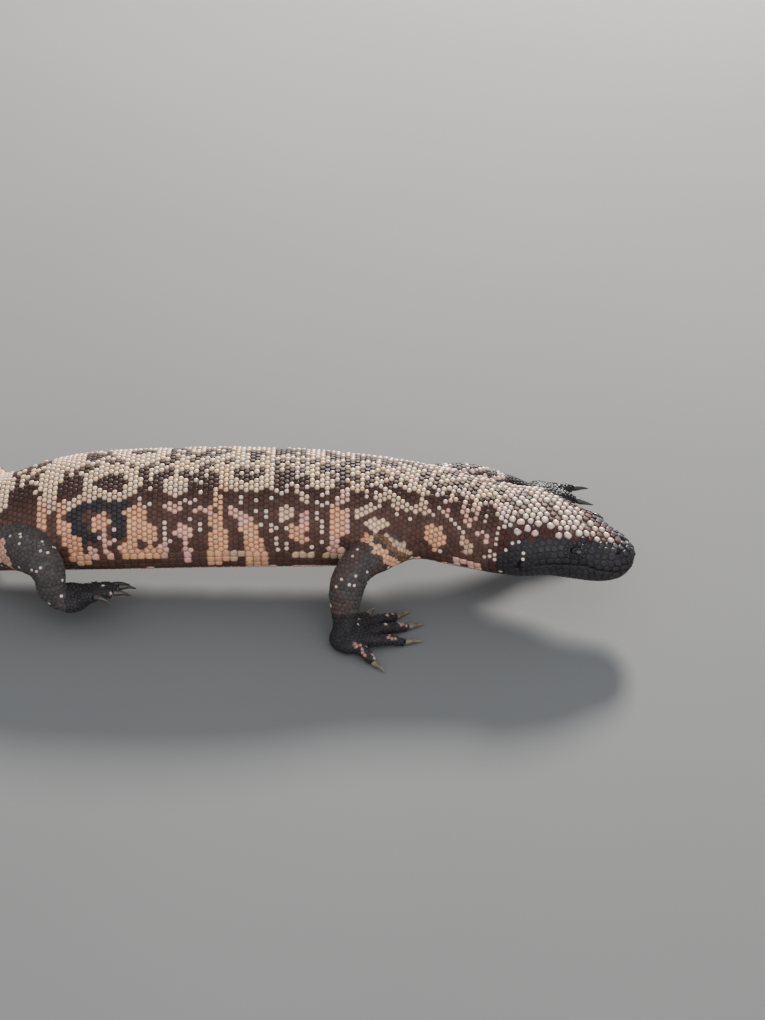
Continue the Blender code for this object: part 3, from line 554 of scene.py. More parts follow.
def stroke_field(along, around):
    """How deep inside a pale mark each place of the flank is, in mm, and the tint of that mark."""
    marks = []
    for tint, strokes in STROKES:
        marks += [(half - from_stroke(along, around, *ends), tint) for *ends, half in strokes]
    for middle_along, middle_around, half_along, half_around, band, tint in RINGS:
        reach = np.hypot((along - middle_along) / half_along, (around - middle_around) / half_around)
        outer = (1 - reach) * half_around
        marks.append((np.minimum(outer, band - outer), tint))
    depth = np.full(len(along), -99.0)
    tints = np.tile(CREAM, (len(along), 1))
    for inside, tint in marks:
        tints[inside > depth] = tint
        depth = np.maximum(depth, inside)
    for hole_along, hole_around, radius in HOLES:
        depth = np.minimum(depth, np.hypot(along - hole_along, around - hole_around) - radius)
    return depth, tints


def draw_markings(points, dice):
    """The colour of each place of skin or scale, and 1 where the hide is black and freshly shed."""
    along, around, turn, _ = chart_of(points)
    kind, which, share = place_in_body(points)
    body = kind == BODY
    across = np.abs(around)
    left = around < 0
    flank_along = np.where(left, along + 9 * np.sin(along / 31) + 5, along)
    ragged = wave_noise(flank_along, across, 7.0, 3)
    depth, tint = stroke_field(flank_along, across)
    pale = depth > 0.35 * ragged

    # The tail is banded, the back has a broken pale strip, partly a pale marking and partly a painted
    # highlight of the light on the top of the back, and the belly is patched.
    tail = along > TAIL_FROM - 4
    phase = (along - TAIL_FROM + 5 * wave_noise(along, around, 26.0, 5)) % TAIL_BAND
    banded = (phase < TAIL_BAND * 0.52) ^ (wave_noise(along, around, 9.0, 6) > 0.72)
    pale = np.where(tail, banded, pale)
    tint[tail] = np.where((wave_noise(along, around, 30.0, 7) > 0)[:, None], ORANGE, PINK)[tail]
    # The pale strip on top of the back stands partly for a painted highlight.
    back = across < np.where(along < SHOULDER_AT, BACK_HALF_FRONT, BACK_HALF_REAR) + 2 * ragged
    back &= (along > NECK_FROM) & ~tail
    back &= wave_noise(along, around, 7.0, 8) > -0.05
    pale |= back
    tint[back] = CREAM
    belly = (np.abs(turn) > BELLY_TURN) & (along > HEAD_END)
    pale = np.where(belly, wave_noise(along, around, 17.0, 9) > 0.05, pale)
    tint[belly] = PINK

    # Lone beads are strewn over the left flank. Toward the back the marks turn yellower and are painted
    # lighter, partly a warmer tint and partly a painted highlight of the light on the top, and the dark
    # ground there is painted darker, a painted shade.
    in_row = (wave_noise(flank_along, across, 11.0, 21) > 0.5) & (dice[:, 0] < 0.4)
    lone = ((dice[:, 0] < 0.07) | in_row) & ~pale & ~tail & (depth < -1.6) & left
    pale = (pale | lone) & ~((dice[:, 1] < 0.02) & ~lone)
    tint[lone] = LONE
    high = np.clip((52 - np.abs(turn)) / 36, 0, 1)[:, None] * (~tail)[:, None]
    yellow_and_lit_share = np.where(back | (along > SHOULDER_AT + 2), 0.65, 0.30)[:, None]
    tint = tint + (np.array(LIT_YELLOW_CREAM) - tint) * high * yellow_and_lit_share
    colour = np.where(pale[:, None], tint, np.array(GROUND) * (1 - 0.48 * high))
    black = np.zeros(len(points), bool)
    for bar in BLACK_BARS:
        for start, end in zip(bar, bar[1:]):
            black |= from_stroke(along, around, *start, *end) < BLACK_RADIUS
    black &= body & ~left & ~pale
    colour[black] = FRESH_BLACK

    # The crown is pale pink, the temple dusky red, and the face black.
    head = along < HEAD_END
    edge = np.interp(along, *zip(*FACE_EDGE)) + 4 * ragged
    face = head & (np.abs(turn) > edge)
    crown = head & ~face
    crown_dark = (wave_noise(along, around, 8.0, 12) > 0.8) | (dice[:, 0] < 0.08)
    crown_dark |= (along < 14) & (wave_noise(along, around, 5.0, 13) > 0.4)
    colour[crown] = np.where(crown_dark[:, None], GROUND, CROWN_PINK)[crown]
    temple = crown & (turn > np.interp(along, *zip(*CROWN_EDGE)) + 3 * ragged) & (along > 15)
    temple |= crown & (-turn > edge - 14)
    colour[temple] = TEMPLE_RED
    colour[face] = FRESH_BLACK
    for dot_along, dot_around, radius in TEMPLE_DOTS:
        dot = (crown | face) & (np.hypot(along - dot_along, around - dot_around) < radius)
        colour[dot] = TEMPLE_PINK
        face &= ~dot
    black |= face & body

    # The legs are grey and brown with specks, the left arm is mottled, and hands and feet are black.
    brown = wave_noise(points[:, 0], points[:, 2], 15.0, 17) > 0.25
    for number, leg in enumerate(LEG_LINES):
        mine = (which == number) & (kind == LEG)
        shade = np.where(brown[:, None], LEG_BROWN, LEG_GREY)
        if leg == "right_hind":
            shade[:] = LEG_GREY
        shade[dice[:, 0] < 0.06] = SPECK
        if leg == "left_fore":
            mottled = wave_noise(points[:, 0], points[:, 1], 9.0, 19) > -0.35
            shade[mottled & (dice[:, 1] < 0.42) & (share < 0.75)] = MOTTLE
        if leg == "left_hind":
            shade[(wave_noise(points[:, 0], points[:, 2], 16.0, 14) > 0.35) & (share < 0.5)] = ORANGE
        if "fore" in leg:
            shade[share > 0.80 + 0.05 * ragged] = FRESH_BLACK
        colour[mine] = shade[mine]
    for start, end, half, tint in ARM_BARS:
        run = np.array(end) - np.array(start)
        across_bar = np.cross(run, (0.0, -0.85, 0.53))
        off = points - np.array(start)
        in_bar = np.abs(off @ across_bar / np.linalg.norm(across_bar) + 0.3 * ragged) < half
        in_bar &= (off @ run > -0.3 * (run @ run)) & (off @ run < 1.5 * (run @ run))
        colour[in_bar & (kind == LEG) & (which == 0) & (share < 0.62)] = tint
    thigh = np.linalg.norm(points - np.array(THIGH_FIELD), axis=1) < THIGH_RADIUS + 1.5 * ragged
    colour[thigh & (kind == LEG)] = THIGH_PINK
    foot = kind == FOOT
    colour[foot] = np.where((dice[:, 0] < 0.02)[:, None], TOE_SPECK, FRESH_BLACK)[foot]
    return colour, black | foot


# The hide's own finish carries the same markings, mostly darker: the hide is darker than its scales,
# and the grooves between the scales, where alone it shows, are given painted shade too. It is matt
# and finely creased.
def fill(data, field, values, number_kind=np.float32):
    data.foreach_set(field, values.astype(number_kind).ravel())


def paint(mesh, name, colours):
    layer = mesh.color_attributes.new(name, "FLOAT_COLOR", "POINT")
    fill(layer.data, "color", np.column_stack([colours, np.ones(len(colours))]))


def read_paint(tree, name):
    found = tree.nodes.new("ShaderNodeAttribute")
    found.attribute_name = name
    return found


def multiply(tree, one, other):
    found = tree.nodes.new("ShaderNodeMix")
    found.data_type = "RGBA"
    found.blend_type = "MULTIPLY"
    found.inputs[0].default_value = 1.0
    tree.links.new(one, found.inputs[6])
    tree.links.new(other, found.inputs[7])
    return found.outputs[2]


hide_finish, tree, shader, place = new_material("creased_hide")
tone = cloudy_tone(tree, place, 420.0, (0.70, 0.68, 0.68), (1.15, 1.1, 1.08))
marking = read_paint(tree, "Marking").outputs["Color"]
tree.links.new(multiply(tree, marking, tone), shader.inputs["Base Color"])
shader.inputs["Roughness"].default_value = 0.62
shader.inputs["Specular IOR Level"].default_value = 0.25
bump_on(tree, shader, noise_at(tree, place, 1500.0), 0.5, 0.0003)
skin.data.materials.append(hide_finish)
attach(skin, "root")
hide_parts(*flesh)


# Every scale starts from a place on the hide. Round beads stand in staggered rows across back,
# flanks and tail, square plates in straight rows across the belly, and lips, lids, legs and toes
# have their own. Free places then push each other to an even spacing.
BEAD_PITCH = 2.8
CROWN_PITCH = 3.3
TEMPLE_PITCH = 2.5
FACE_PITCH = 3.6
LEG_PITCH = 2.5
FOOT_PITCH = 1.75
ROW_SHARE = 0.866
PLATE_ROW, PLATE_TALL = 3.7, 4.5
PLATE_TURN, TAIL_PLATE_TURN = 92, 112
rng = np.random.default_rng(11)
hide_now = points_of(skin.data)
hide_faces = [tuple(face.vertices) for face in skin.data.polygons]
hide = BVHTree.FromPolygons([Vector(point) for point in hide_now], hide_faces)


groups = {}


def add_place(name, place):
    groups.setdefault(name, []).append(place[:])


def cast_place(name, start, aim, most=math.inf):
    """Adds the place where a ray from inside meets the hide, if that isn't too far."""
    hit, _, _, reach = hide.ray_cast(Vector(start), aim)
    if hit is not None and reach < most:
        add_place(name, hit)


def body_places(name, along, arounds):
    """Adds places in one row across the body, by rays from its middle line."""
    middle, ahead = line_here(along)
    for turn in arounds / body_radius(middle):
        if abs(turn) > math.pi:
            continue
        side = abs(math.sin(turn)) ** (1 / TURN_POWER) * middle[3] * -math.copysign(1, turn)
        rise = abs(math.cos(turn)) ** (1 / TURN_POWER)
        rise *= middle[4] if math.cos(turn) > 0 else -middle[5]
        aim = Vector((-ahead[1] * side, ahead[0] * side, rise))
        cast_place(name, middle[:3], aim.normalized(), aim.length * 1.3 + 2)


def row_across(along, pitch, shift, low, high):
    """One row of places between two turns from the mid-back, the same on both sides."""
    radius = body_radius(line_here(along)[0])
    steps = np.arange(-int(radius * math.pi / pitch) - 2, int(radius * math.pi / pitch) + 3)
    arounds = (steps + shift) * pitch
    turns = np.abs(np.degrees(arounds / radius))
    return arounds[(turns >= low) & (turns < high)]


along = 3.0
number = 0
while along < body_length - 2:
    pitch = CROWN_PITCH if along < 58 else BEAD_PITCH
    top_turn = PLATE_TURN if NECK_FROM < along < TAIL_FROM - 4 else 180
    body_places("beads", along, row_across(along, pitch, 0.5 * (number % 2), 0, top_turn))
    along += pitch * ROW_SHARE
    number += 1
for along in np.arange(HEAD_END, body_length - 12, PLATE_ROW):
    top_turn = PLATE_TURN if along < TAIL_FROM - 4 else TAIL_PLATE_TURN
    body_places("belly", along, row_across(along, PLATE_TALL, 0.5, top_turn + 4, 181))
for leg, stops in LEG_LINES.items():
    stops = np.array(stops)
    lengths = np.concatenate([[0], np.cumsum(np.linalg.norm(np.diff(stops[:, :3], axis=0), axis=1))])
    for number, length in enumerate(np.arange(4, lengths[-1], LEG_PITCH * ROW_SHARE)):
        spot = np.array([np.interp(length, lengths, stops[:, k]) for k in range(4)])
        ahead = np.array([np.interp(length + 1, lengths, stops[:, k]) for k in range(3)]) - spot[:3]
        if np.linalg.norm(ahead) < 0.1:
            continue
        across = Vector(ahead).orthogonal().normalized()
        over = Vector(ahead).normalized().cross(across)
        count = max(int(2 * math.pi * spot[3] / LEG_PITCH), 6)
        for k in range(count):
            turn = 2 * math.pi * (k + 0.5 * (number % 2)) / count
            aim = across * math.cos(turn) + over * math.sin(turn)
            cast_place("legs", spot[:3], aim, spot[3] * 1.5)


# The lips carry a row of larger plates above and below the line of the mouth, and two rings of
# small scales edge each eye. The opening of the eye, the nostril and the ear stay bare.
LIP_PLATE = 3.7
LIP_OFFSET = 1.45
LID_RINGS = (("lids", 16, 3.9, 2.6, 0.0), ("lid_plates", 15, 5.4, 4.1, 0.5))
LID_OUT = 3.4
for side_sign in (-1, 1):
    for back in np.arange(2.6, MOUTH_CORNER, LIP_PLATE):
        middle, ahead = line_here(back)
        aim = Vector((-ahead[1] * side_sign, ahead[0] * side_sign, 0))
        for offset in (LIP_OFFSET, -LIP_OFFSET):
            height = np.interp(back, *zip(*MOUTH)) + offset
            cast_place("lips", Vector(middle[:3]) + Vector((0, 0, height)), aim)
snout, snout_ahead = line_here(3.0)
for offset in (LIP_OFFSET, -LIP_OFFSET):
    height = MOUTH[1][1] + offset
    cast_place("lips", Vector(snout[:3]) + Vector((0, 0, height)), Vector((*snout_ahead, 0)))
for _, middle, outward, forward, over in eye_middles:
    for ring, count, half_length, half_height, shift in LID_RINGS:
        for k in range(count):
            turn = 2 * math.pi * (k + shift) / count
            spot = middle + outward * LID_OUT + forward * half_length * math.cos(turn)
            spot += over * half_height * math.sin(turn)
            add_place(ring, hide.find_nearest(spot)[0])
for nostril in nostrils:
    add_place("openings", hide.find_nearest(Vector(nostril))[0])
for dot_along, dot_around, _ in TEMPLE_DOTS:
    body_places("temple", dot_along, np.array([dot_around]))


# Plates, lips, lids and the temple's scales are pinned where they are, each with its own pitch. The
# rest thin out where they crowd, fill the gaps, and then push each other apart.
PINNED_PITCH = {
    "belly": 4.1, "lips": 3.3, "lids": 1.4, "lid_plates": 2.0, "temple": 4.2, "openings": 2.3 * NOSTRIL_WIDE,
}
SEARCH_CELL = 3.6
PINNED_ROOM, FREE_ROOM, FILLER_ROOM = 0.55, 0.68, 0.80
PUSH_ROUNDS, PUSH_SHARE = 9, 0.30
names = list(groups)
points = np.concatenate([np.array(groups[name]) for name in names])
labels = np.concatenate([np.full(len(groups[name]), k) for k, name in enumerate(names)])


def pitch_at(points, labels):
    along, around, turn, _ = chart_of(points)
    kind, _, _ = place_in_body(points)
    found = np.full(len(points), BEAD_PITCH)
    head = (along < 60) & (kind == BODY)
    side = head & (np.abs(turn) > np.interp(along, *zip(*FACE_EDGE)))
    found[head] = CROWN_PITCH * (1 + 0.2 * wave_noise(points[:, 0], points[:, 1], 5.0, 31))[head]
    found[head & (turn > np.interp(along, *zip(*CROWN_EDGE)) + 4) & (along > 24)] = TEMPLE_PITCH
    found[side] = np.where(along > 43, TEMPLE_PITCH, FACE_PITCH)[side]
    found[kind == LEG] = LEG_PITCH
    found[kind == FOOT] = FOOT_PITCH
    tip = (along > body_length - 30) & (kind == BODY)
    found[tip] = BEAD_PITCH - 0.02 * (along - body_length + 30)[tip]
    for name, wide in PINNED_PITCH.items():
        found[labels == names.index(name)] = wide
    return found, kind


def bare_at(points):
    """True at the openings of eyes, nostrils and ears."""
    found = np.zeros(len(points), bool)
    for _, middle, outward, forward, over in eye_middles:
        off = points - np.array(middle + outward * 3.2)
        back_share = off @ np.array(forward) / (LID_OPEN[0] + 0.2)
        over_share = off @ np.array(over) / (LID_OPEN[1] + 0.2)
        reach = np.hypot(back_share, over_share)
        found |= (reach < 1) & (np.abs(off @ np.array(outward)) < 5)
    for spot in nostrils:
        found |= np.linalg.norm(points - np.array(spot), axis=1) < NOSTRIL_WIDE
    for spot in EARS:
        off = points - np.array(spot)
        found |= np.hypot(np.hypot(off[:, 0], off[:, 1]) / 1.9, off[:, 2] / 4.2) < 1
    return found


pinned_ids = [k for k, name in enumerate(names) if name in PINNED_PITCH]
pitch, kind = pitch_at(points, labels)
wrong = np.zeros(len(points), bool)
for name, part_kind in (("beads", BODY), ("belly", BODY), ("legs", LEG)):
    wrong |= (labels == names.index(name)) & (kind != part_kind)
at_openings = [names.index(name) for name in ("lids", "lid_plates", "openings")]
wrong |= bare_at(points) & ~np.isin(labels, at_openings)
order = np.argsort(~np.isin(labels, pinned_ids), kind="stable")
order = order[~wrong[order]]
points, labels, pitch = points[order], labels[order], pitch[order]

filler = hide_now[rng.permutation(len(hide_now))]
filler = filler[~bare_at(filler)]
filler_pitch, _ = pitch_at(filler, np.full(len(filler), -1))
cells = {}
kept = []


def crowded(spot, pitch_here, share):
    """True where a kept place is too near. A place that is clear is kept too."""
    home = tuple(int(v // SEARCH_CELL) for v in spot)
    for dx in (-1, 0, 1):
        for dy in (-1, 0, 1):
            for dz in (-1, 0, 1):
                for other, other_pitch in cells.get((home[0] + dx, home[1] + dy, home[2] + dz), ()):
                    room = (pitch_here + other_pitch) / 2 * share
                    if math.dist(spot, other) < room:
                        return True
    cells.setdefault(home, []).append((spot, pitch_here))
    return False


for k, spot in enumerate(points.tolist()):
    if not crowded(spot, pitch[k], PINNED_ROOM if labels[k] in pinned_ids else FREE_ROOM):
        kept.append(k)
points, labels, pitch = points[kept], labels[kept], pitch[kept]
added = [k for k, spot in enumerate(filler.tolist()) if not crowded(spot, filler_pitch[k], FILLER_ROOM)]
names.append("filler")
points = np.concatenate([points, filler[added]])
labels = np.concatenate([labels, np.full(len(added), len(names) - 1)])
pitch = np.concatenate([pitch, filler_pitch[added]])
pinned = np.isin(labels, pinned_ids)


def search_tree(points):
    found = KDTree(len(points))
    for k, point in enumerate(points):
        found.insert(point, k)
    found.balance()
    return found


def near_ones(points, count):
    search = search_tree(points)
    return np.array([[hit[1] for hit in search.find_n(point, count + 1)[1:]] for point in points])


for _ in range(PUSH_ROUNDS):
    near = near_ones(points, 6)
    off = points[:, None] - points[near]
    far = np.linalg.norm(off, axis=2) + 1e-6
    want = (pitch[:, None] + pitch[near]) / 2
    push = np.clip(want - far, 0, None)[:, :, None] * off / far[:, :, None] * PUSH_SHARE
    moved = points + push.sum(1)
    for k in np.flatnonzero(~pinned):
        points[k] = hide.find_nearest(Vector(moved[k]))[0]
clear = pinned | ~bare_at(points)
points, labels, pitch, pinned = points[clear], labels[clear], pitch[clear], pinned[clear]


# Each scale is a small dome of horn, rooted in the hide, with a rounded outline that meets its
# neighbours across a narrow groove. One dome is shaped once and set at every place.
DOME_CORNERS = 10
SCALE_ROOT = 0.35
GROOVE = 0.10
CROWN_GROOVE = 0.55
BACK_GROOVE = 0.24
MOUTH_GROOVE = 1.0
TIGHT_GROOVE = 0.05
SHOULDER, BROW = 0.88, 0.52
BACK_TURN, FLANK_TURN = 50, 62
PLATE_MOST, BEAD_MOST, LEAST = 0.74, 0.53, 0.25
dome = bmesh.new()
bmesh.ops.create_cone(dome, cap_ends=True, segments=DOME_CORNERS, radius1=1.0, radius2=SHOULDER, depth=1.0)
dome_top = max(dome.faces, key=lambda face: face.calc_center_median().z)
inset = (SHOULDER - BROW) * math.cos(math.pi / DOME_CORNERS)
bmesh.ops.inset_individual(dome, faces=[dome_top], thickness=inset)
bmesh.ops.poke(dome, faces=[dome_top])
dome.verts.index_update()
dome_reach = np.array([math.hypot(vertex.co.x, vertex.co.y) for vertex in dome.verts])
dome_share = [math.atan2(vertex.co.y, vertex.co.x) / (2 * math.pi) for vertex in dome.verts]
dome_corner = np.array([round(share * DOME_CORNERS * 2) for share in dome_share])
dome_rise = np.array([vertex.co.z for vertex in dome.verts])
dome_level = np.select([dome_rise < 0, dome_reach > 0.7, dome_reach > 0.2], [0, 1, 2], 3)
dome_faces = [[vertex.index for vertex in face.verts] for face in dome.faces]
dome.free()
corner_turn = np.arange(2 * DOME_CORNERS) * math.pi / DOME_CORNERS

# Each place gets its colour, the direction out of the hide, and a frame along and across the body.
dice = rng.random((len(points), 2))
scale_colour, scale_black = draw_markings(points, dice)
near = near_ones(points, 10)
found = [hide.find_nearest(Vector(point)) for point in points]
normals = np.array([hit[1][:] for hit in found])
normals = normals + normals[near[:, :6]].mean(1) * 1.5
normals /= np.linalg.norm(normals, axis=1, keepdims=True)
along, around, turn, _ = chart_of(points)
kind, which, share = place_in_body(points)
ahead = np.column_stack([read_line(line_ahead, along), np.zeros(len(points))])
ahead -= normals * (ahead * normals).sum(1, keepdims=True)
steep = np.linalg.norm(ahead, axis=1) < 0.2
ahead[steep] = np.cross(normals[steep], (0.0, 1.0, 0.0))
ahead /= np.linalg.norm(ahead, axis=1, keepdims=True)
aside = np.cross(normals, ahead)

# The outline of a scale ends half way to each neighbour, by their pitches, less half the groove.
off = points[near] - points[:, None]
flat = np.stack([(off * ahead[:, None]).sum(2), (off * aside[:, None]).sum(2)], axis=2)
flat *= (np.linalg.norm(off, axis=2) / np.maximum(np.linalg.norm(flat, axis=2), 1e-6))[:, :, None]
part = (pitch[:, None] / (pitch[:, None] + pitch[near]))[:, :, None]
spokes = np.stack([np.cos(corner_turn), np.sin(corner_turn)])
reach_along = flat @ spokes
edge = part * (flat**2).sum(2)[:, :, None] / np.where(reach_along > 1e-3, reach_along, 1e-3)
edge[reach_along <= 1e-3] = 99
lip = labels == names.index("lips")
upper_lip = above_mouth(points, along) > 0
across_mouth = lip[:, None] & lip[near] & (upper_lip[:, None] != upper_lip[near])
face_now = (along < NECK_FROM) & (np.abs(turn) > np.interp(along, *zip(*FACE_EDGE))) & (kind == BODY)
crown_now = (along < NECK_FROM) & (kind == BODY) & ~face_now
back_now = (kind == BODY) & (np.abs(turn) < BACK_TURN) & (along >= NECK_FROM) & (along < TAIL_FROM)
groove = np.select([crown_now, face_now, back_now], [CROWN_GROOVE, TIGHT_GROOVE, BACK_GROOVE], GROOVE)
groove[scale_colour.max(1) < DARK_BELOW] = TIGHT_GROOVE
edge -= np.where(across_mouth, MOUTH_GROOVE, groove[:, None])[:, :, None] / 2
reach = edge.min(1)
plate = (labels == names.index("belly")) | lip | (face_now & (along < 43))
most = pitch * np.where(plate, PLATE_MOST, BEAD_MOST)
reach = np.clip(reach, LEAST, most[:, None])

# Each region's scales have their height in mm, their flatness, and a share of light left at the root.
height = np.full(len(points), 1.15)
flatness = np.full(len(points), 0.2)
root_shade = np.full(len(points), 0.60)
for chosen, tall, level, shade in (
    ((kind == BODY) & (np.abs(turn) > FLANK_TURN) & (along > NECK_FROM), 0.8, 0.45, 0.70),
    (labels == names.index("belly"), 0.55, 0.75, 0.75),
    (back_now, 1.25, 0.2, 0.42),
    (crown_now, 1.45, 0.3, 0.18),
    (face_now, 0.20, 0.9, 0.92),
    (lip, 0.34, 0.85, 0.85),
    (np.isin(labels, [names.index("lids"), names.index("lid_plates")]), 0.45, 0.5, 0.70),
    (kind == LEG, 0.36, 0.7, 0.90),
    (kind == FOOT, 0.34, 0.6, 0.85),
):
    height[chosen] = tall
    flatness[chosen] = level
    root_shade[chosen] = shade
height *= 0.9 + 0.2 * rng.random(len(points))
small_bead = (kind == BODY) & ~crown_now & ~plate
for dot_along, dot_around in DOTS:
    off_dot = np.where(small_bead, np.hypot(along - dot_along, around - dot_around), 99)
    dot = np.argmin(off_dot)
    scale_colour[dot] = LONE
    scale_black[dot] = False
dark_bead = (scale_colour.max(1) < DARK_BELOW) & (kind == BODY) & ~face_now
height[dark_bead] *= 0.42
flatness[dark_bead] = 0.9
root_shade[dark_bead] = 0.92
toe_end = (kind == FOOT) & (which == 0) & (share > 0.62) & (share < 0.97)
scale_colour[toe_end & (normals[:, 2] > 0.35) & (dice[:, 1] < 0.55)] = TOE_PINK
lone_bead = (np.abs(scale_colour - LONE).sum(1) < 1e-6) | (np.abs(scale_colour - SPECK).sum(1) < 1e-6)
reach[lone_bead] *= np.where(kind != BODY, 0.66, np.where(along < 70, 0.72, 0.86))[lone_bead][:, None]
scale_colour *= (0.82 + 0.36 * rng.random((len(points), 1)))
scale_colour = np.clip(scale_colour * (1 + 0.10 * (rng.random((len(points), 3)) - 0.5)), 0, 1)


# The hide between the scales takes a darker tone of the scale that it lies nearest to, partly the
# hide's own darker tone and partly painted shade in the grooves, deepest on crown and back. It is
# painted nearly black in the mouth's crease and at the rims of eyes, nostrils and ears, a painted
# shade in these hollows.
CREASE_PAINT_HALF = 0.7
search = search_tree(points)
nearest_scale = np.array([search.find(point)[1] for point in hide_now])
# Each share is partly the hide's own darker tone and partly painted shade in the grooves.
hide_tone_and_groove_shade = np.select([scale_colour.max(1) < DARK_BELOW, crown_now, back_now], [0.92, 0.08, 0.22], 0.60)
hide_colour = np.where(lone_bead[:, None], GROUND, scale_colour * hide_tone_and_groove_shade[:, None])
hide_colour[lone_bead & face_now] = FRESH_BLACK
hide_colour[lone_bead & (kind == LEG)] = LEG_GREY
hide_colour = hide_colour[nearest_scale]
in_crease = np.abs(above_mouth(skin_points, skin_along)) < CREASE_PAINT_HALF
in_crease &= (skin_along < MOUTH_CORNER) & on_head
# Painted shade: the openings and the mouth's crease are painted nearly black.
hide_colour[bare_at(skin_points) | in_crease] = OPENING_SHADE_BLACK
paint(skin.data, "Marking", hide_colour)


# The scales of one region are joined in one piece. Each keeps its colour, a shade that darkens it
# toward its root in the hide, and a small patch at its root's place on the hide's unwrap.
BAKE_PATCH = 0.0015
FLOOR_CLEAR = 0.03


def atlas_places():
    """Where each root lies on the unwrap: the body as one long strip, each leg as a strip of its
    own, and each foot as its upper and its under side."""
    u = 0.01 + 0.98 * along / body_length
    v = 0.30 + around / 400
    for number, (leg, stops) in enumerate(LEG_LINES.items()):
        stops = np.array(stops)[:, :3]
        mine = (kind == LEG) & (which == number)
        axis = stops[-1] - stops[0]
        axis = axis / np.linalg.norm(axis)
        side = np.cross(axis, (0.0, 0.0, 1.0))
        off = points - (stops[0] + stops[-1]) / 2
        angle = np.arctan2(off @ side, off @ np.cross(side, axis)) / (2 * math.pi)
        u[mine] = (0.25 * number + 0.12 + 0.22 * angle)[mine]
        v[mine] = (0.60 + 0.16 * share)[mine]
        palm = digit_lines[leg][0]
        mine = (kind == FOOT) & (which == number)
        under = normals[:, 2] < 0
        sideways = np.clip((points[:, 1] - palm[1]) / 60 + 0.5, 0, 1)
        lengthways = np.clip((points[:, 0] - palm[0]) / 60 + 0.5, 0, 1)
        u[mine] = (0.25 * number + 0.005 + 0.12 * sideways + 0.122 * under)[mine]
        v[mine] = (0.78 + 0.20 * lengthways)[mine]
    return np.stack([u, v], axis=1)


atlas = atlas_places()


def scale_piece(name, chosen, finish):
    """Sets one dome at each chosen place and joins them in one mesh."""
    chosen = np.flatnonzero(chosen)
    spread = reach[chosen][:, dome_corner % (2 * DOME_CORNERS)] * dome_reach
    corner = corner_turn[dome_corner % (2 * DOME_CORNERS)]
    tall, level = height[chosen][:, None], flatness[chosen][:, None]
    shoulder, brow = tall * (0.58 + 0.3 * level), tall * (0.92 + 0.06 * level)
    rises = np.stack([-SCALE_ROOT + 0 * tall, shoulder, brow, tall], axis=2)
    rise = rises[:, 0][:, dome_level]
    spots = points[chosen][:, None] + normals[chosen][:, None] * rise[:, :, None]
    spots += ahead[chosen][:, None] * (spread * np.cos(corner))[:, :, None]
    spots += aside[chosen][:, None] * (spread * np.sin(corner))[:, :, None]
    spots[:, :, 2] = np.maximum(spots[:, :, 2], FLOOR_CLEAR)
    count = len(dome_reach)
    mesh = bpy.data.meshes.new(name)
    sizes = np.tile([len(face) for face in dome_faces], len(chosen))
    loops = np.concatenate([np.array(sum(dome_faces, [])) + k * count for k in range(len(chosen))])
    mesh.vertices.add(len(chosen) * count)
    fill(mesh.vertices, "co", spots * MM)
    mesh.loops.add(len(loops))
    fill(mesh.loops, "vertex_index", loops, np.int32)
    mesh.polygons.add(len(sizes))
    fill(mesh.polygons, "loop_start", np.concatenate([[0], np.cumsum(sizes)[:-1]]), np.int32)
    mesh.update(calc_edges=True)
    paint(mesh, "Marking", np.repeat(scale_colour[chosen], count, axis=0))
    low = root_shade[chosen][:, None]
    shade = low + (1 - low) * np.array((0.0, 0.5, 0.9, 1.0))[dome_level]
    fill(mesh.attributes.new("Shade", "FLOAT", "POINT").data, "value", shade)
    patch = np.stack([np.cos(corner), np.sin(corner)], axis=1) * (dome_reach * BAKE_PATCH)[:, None]
    spots_uv = (atlas[chosen][:, None] + patch[None]).reshape(-1, 2)
    fill(mesh.uv_layers.new(name="OFBake").data, "uv", spots_uv[loops])
    mesh.shade_smooth()
    mesh.materials.append(finish)
    made = bpy.data.objects.new(name, mesh)
    bpy.context.scene.collection.objects.link(made)
    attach(made, "root")


def scale_finish(name, rough_dark, rough_pale, shine_dark, grain):
    """Satin horn, darker down in the grooves, glossier where it is pale, with a fine grain."""
    made, tree, shader, place = new_material(name)
    marking = read_paint(tree, "Marking").outputs["Color"]
    shade = read_paint(tree, "Shade").outputs["Color"]
    tone = cloudy_tone(tree, place, 700.0, (0.84, 0.82, 0.80), (1.08, 1.06, 1.05))
    colour = multiply(tree, multiply(tree, marking, shade), tone)
    tree.links.new(colour, shader.inputs["Base Color"])
    finish = ramp_over(tree, marking, [(0.10, (rough_dark,) * 3), (0.40, (rough_pale,) * 3)])
    patchy = cloudy_tone(tree, place, 500.0, (0.85,) * 3, (1.15,) * 3)
    tree.links.new(multiply(tree, finish, patchy), shader.inputs["Roughness"])
    shine = ramp_over(tree, marking, [(0.10, (shine_dark,) * 3), (0.40, (0.8,) * 3)])
    tree.links.new(shine, shader.inputs["Specular IOR Level"])
    bump_on(tree, shader, noise_at(tree, place, 2600.0), grain, 0.0002)
    return made


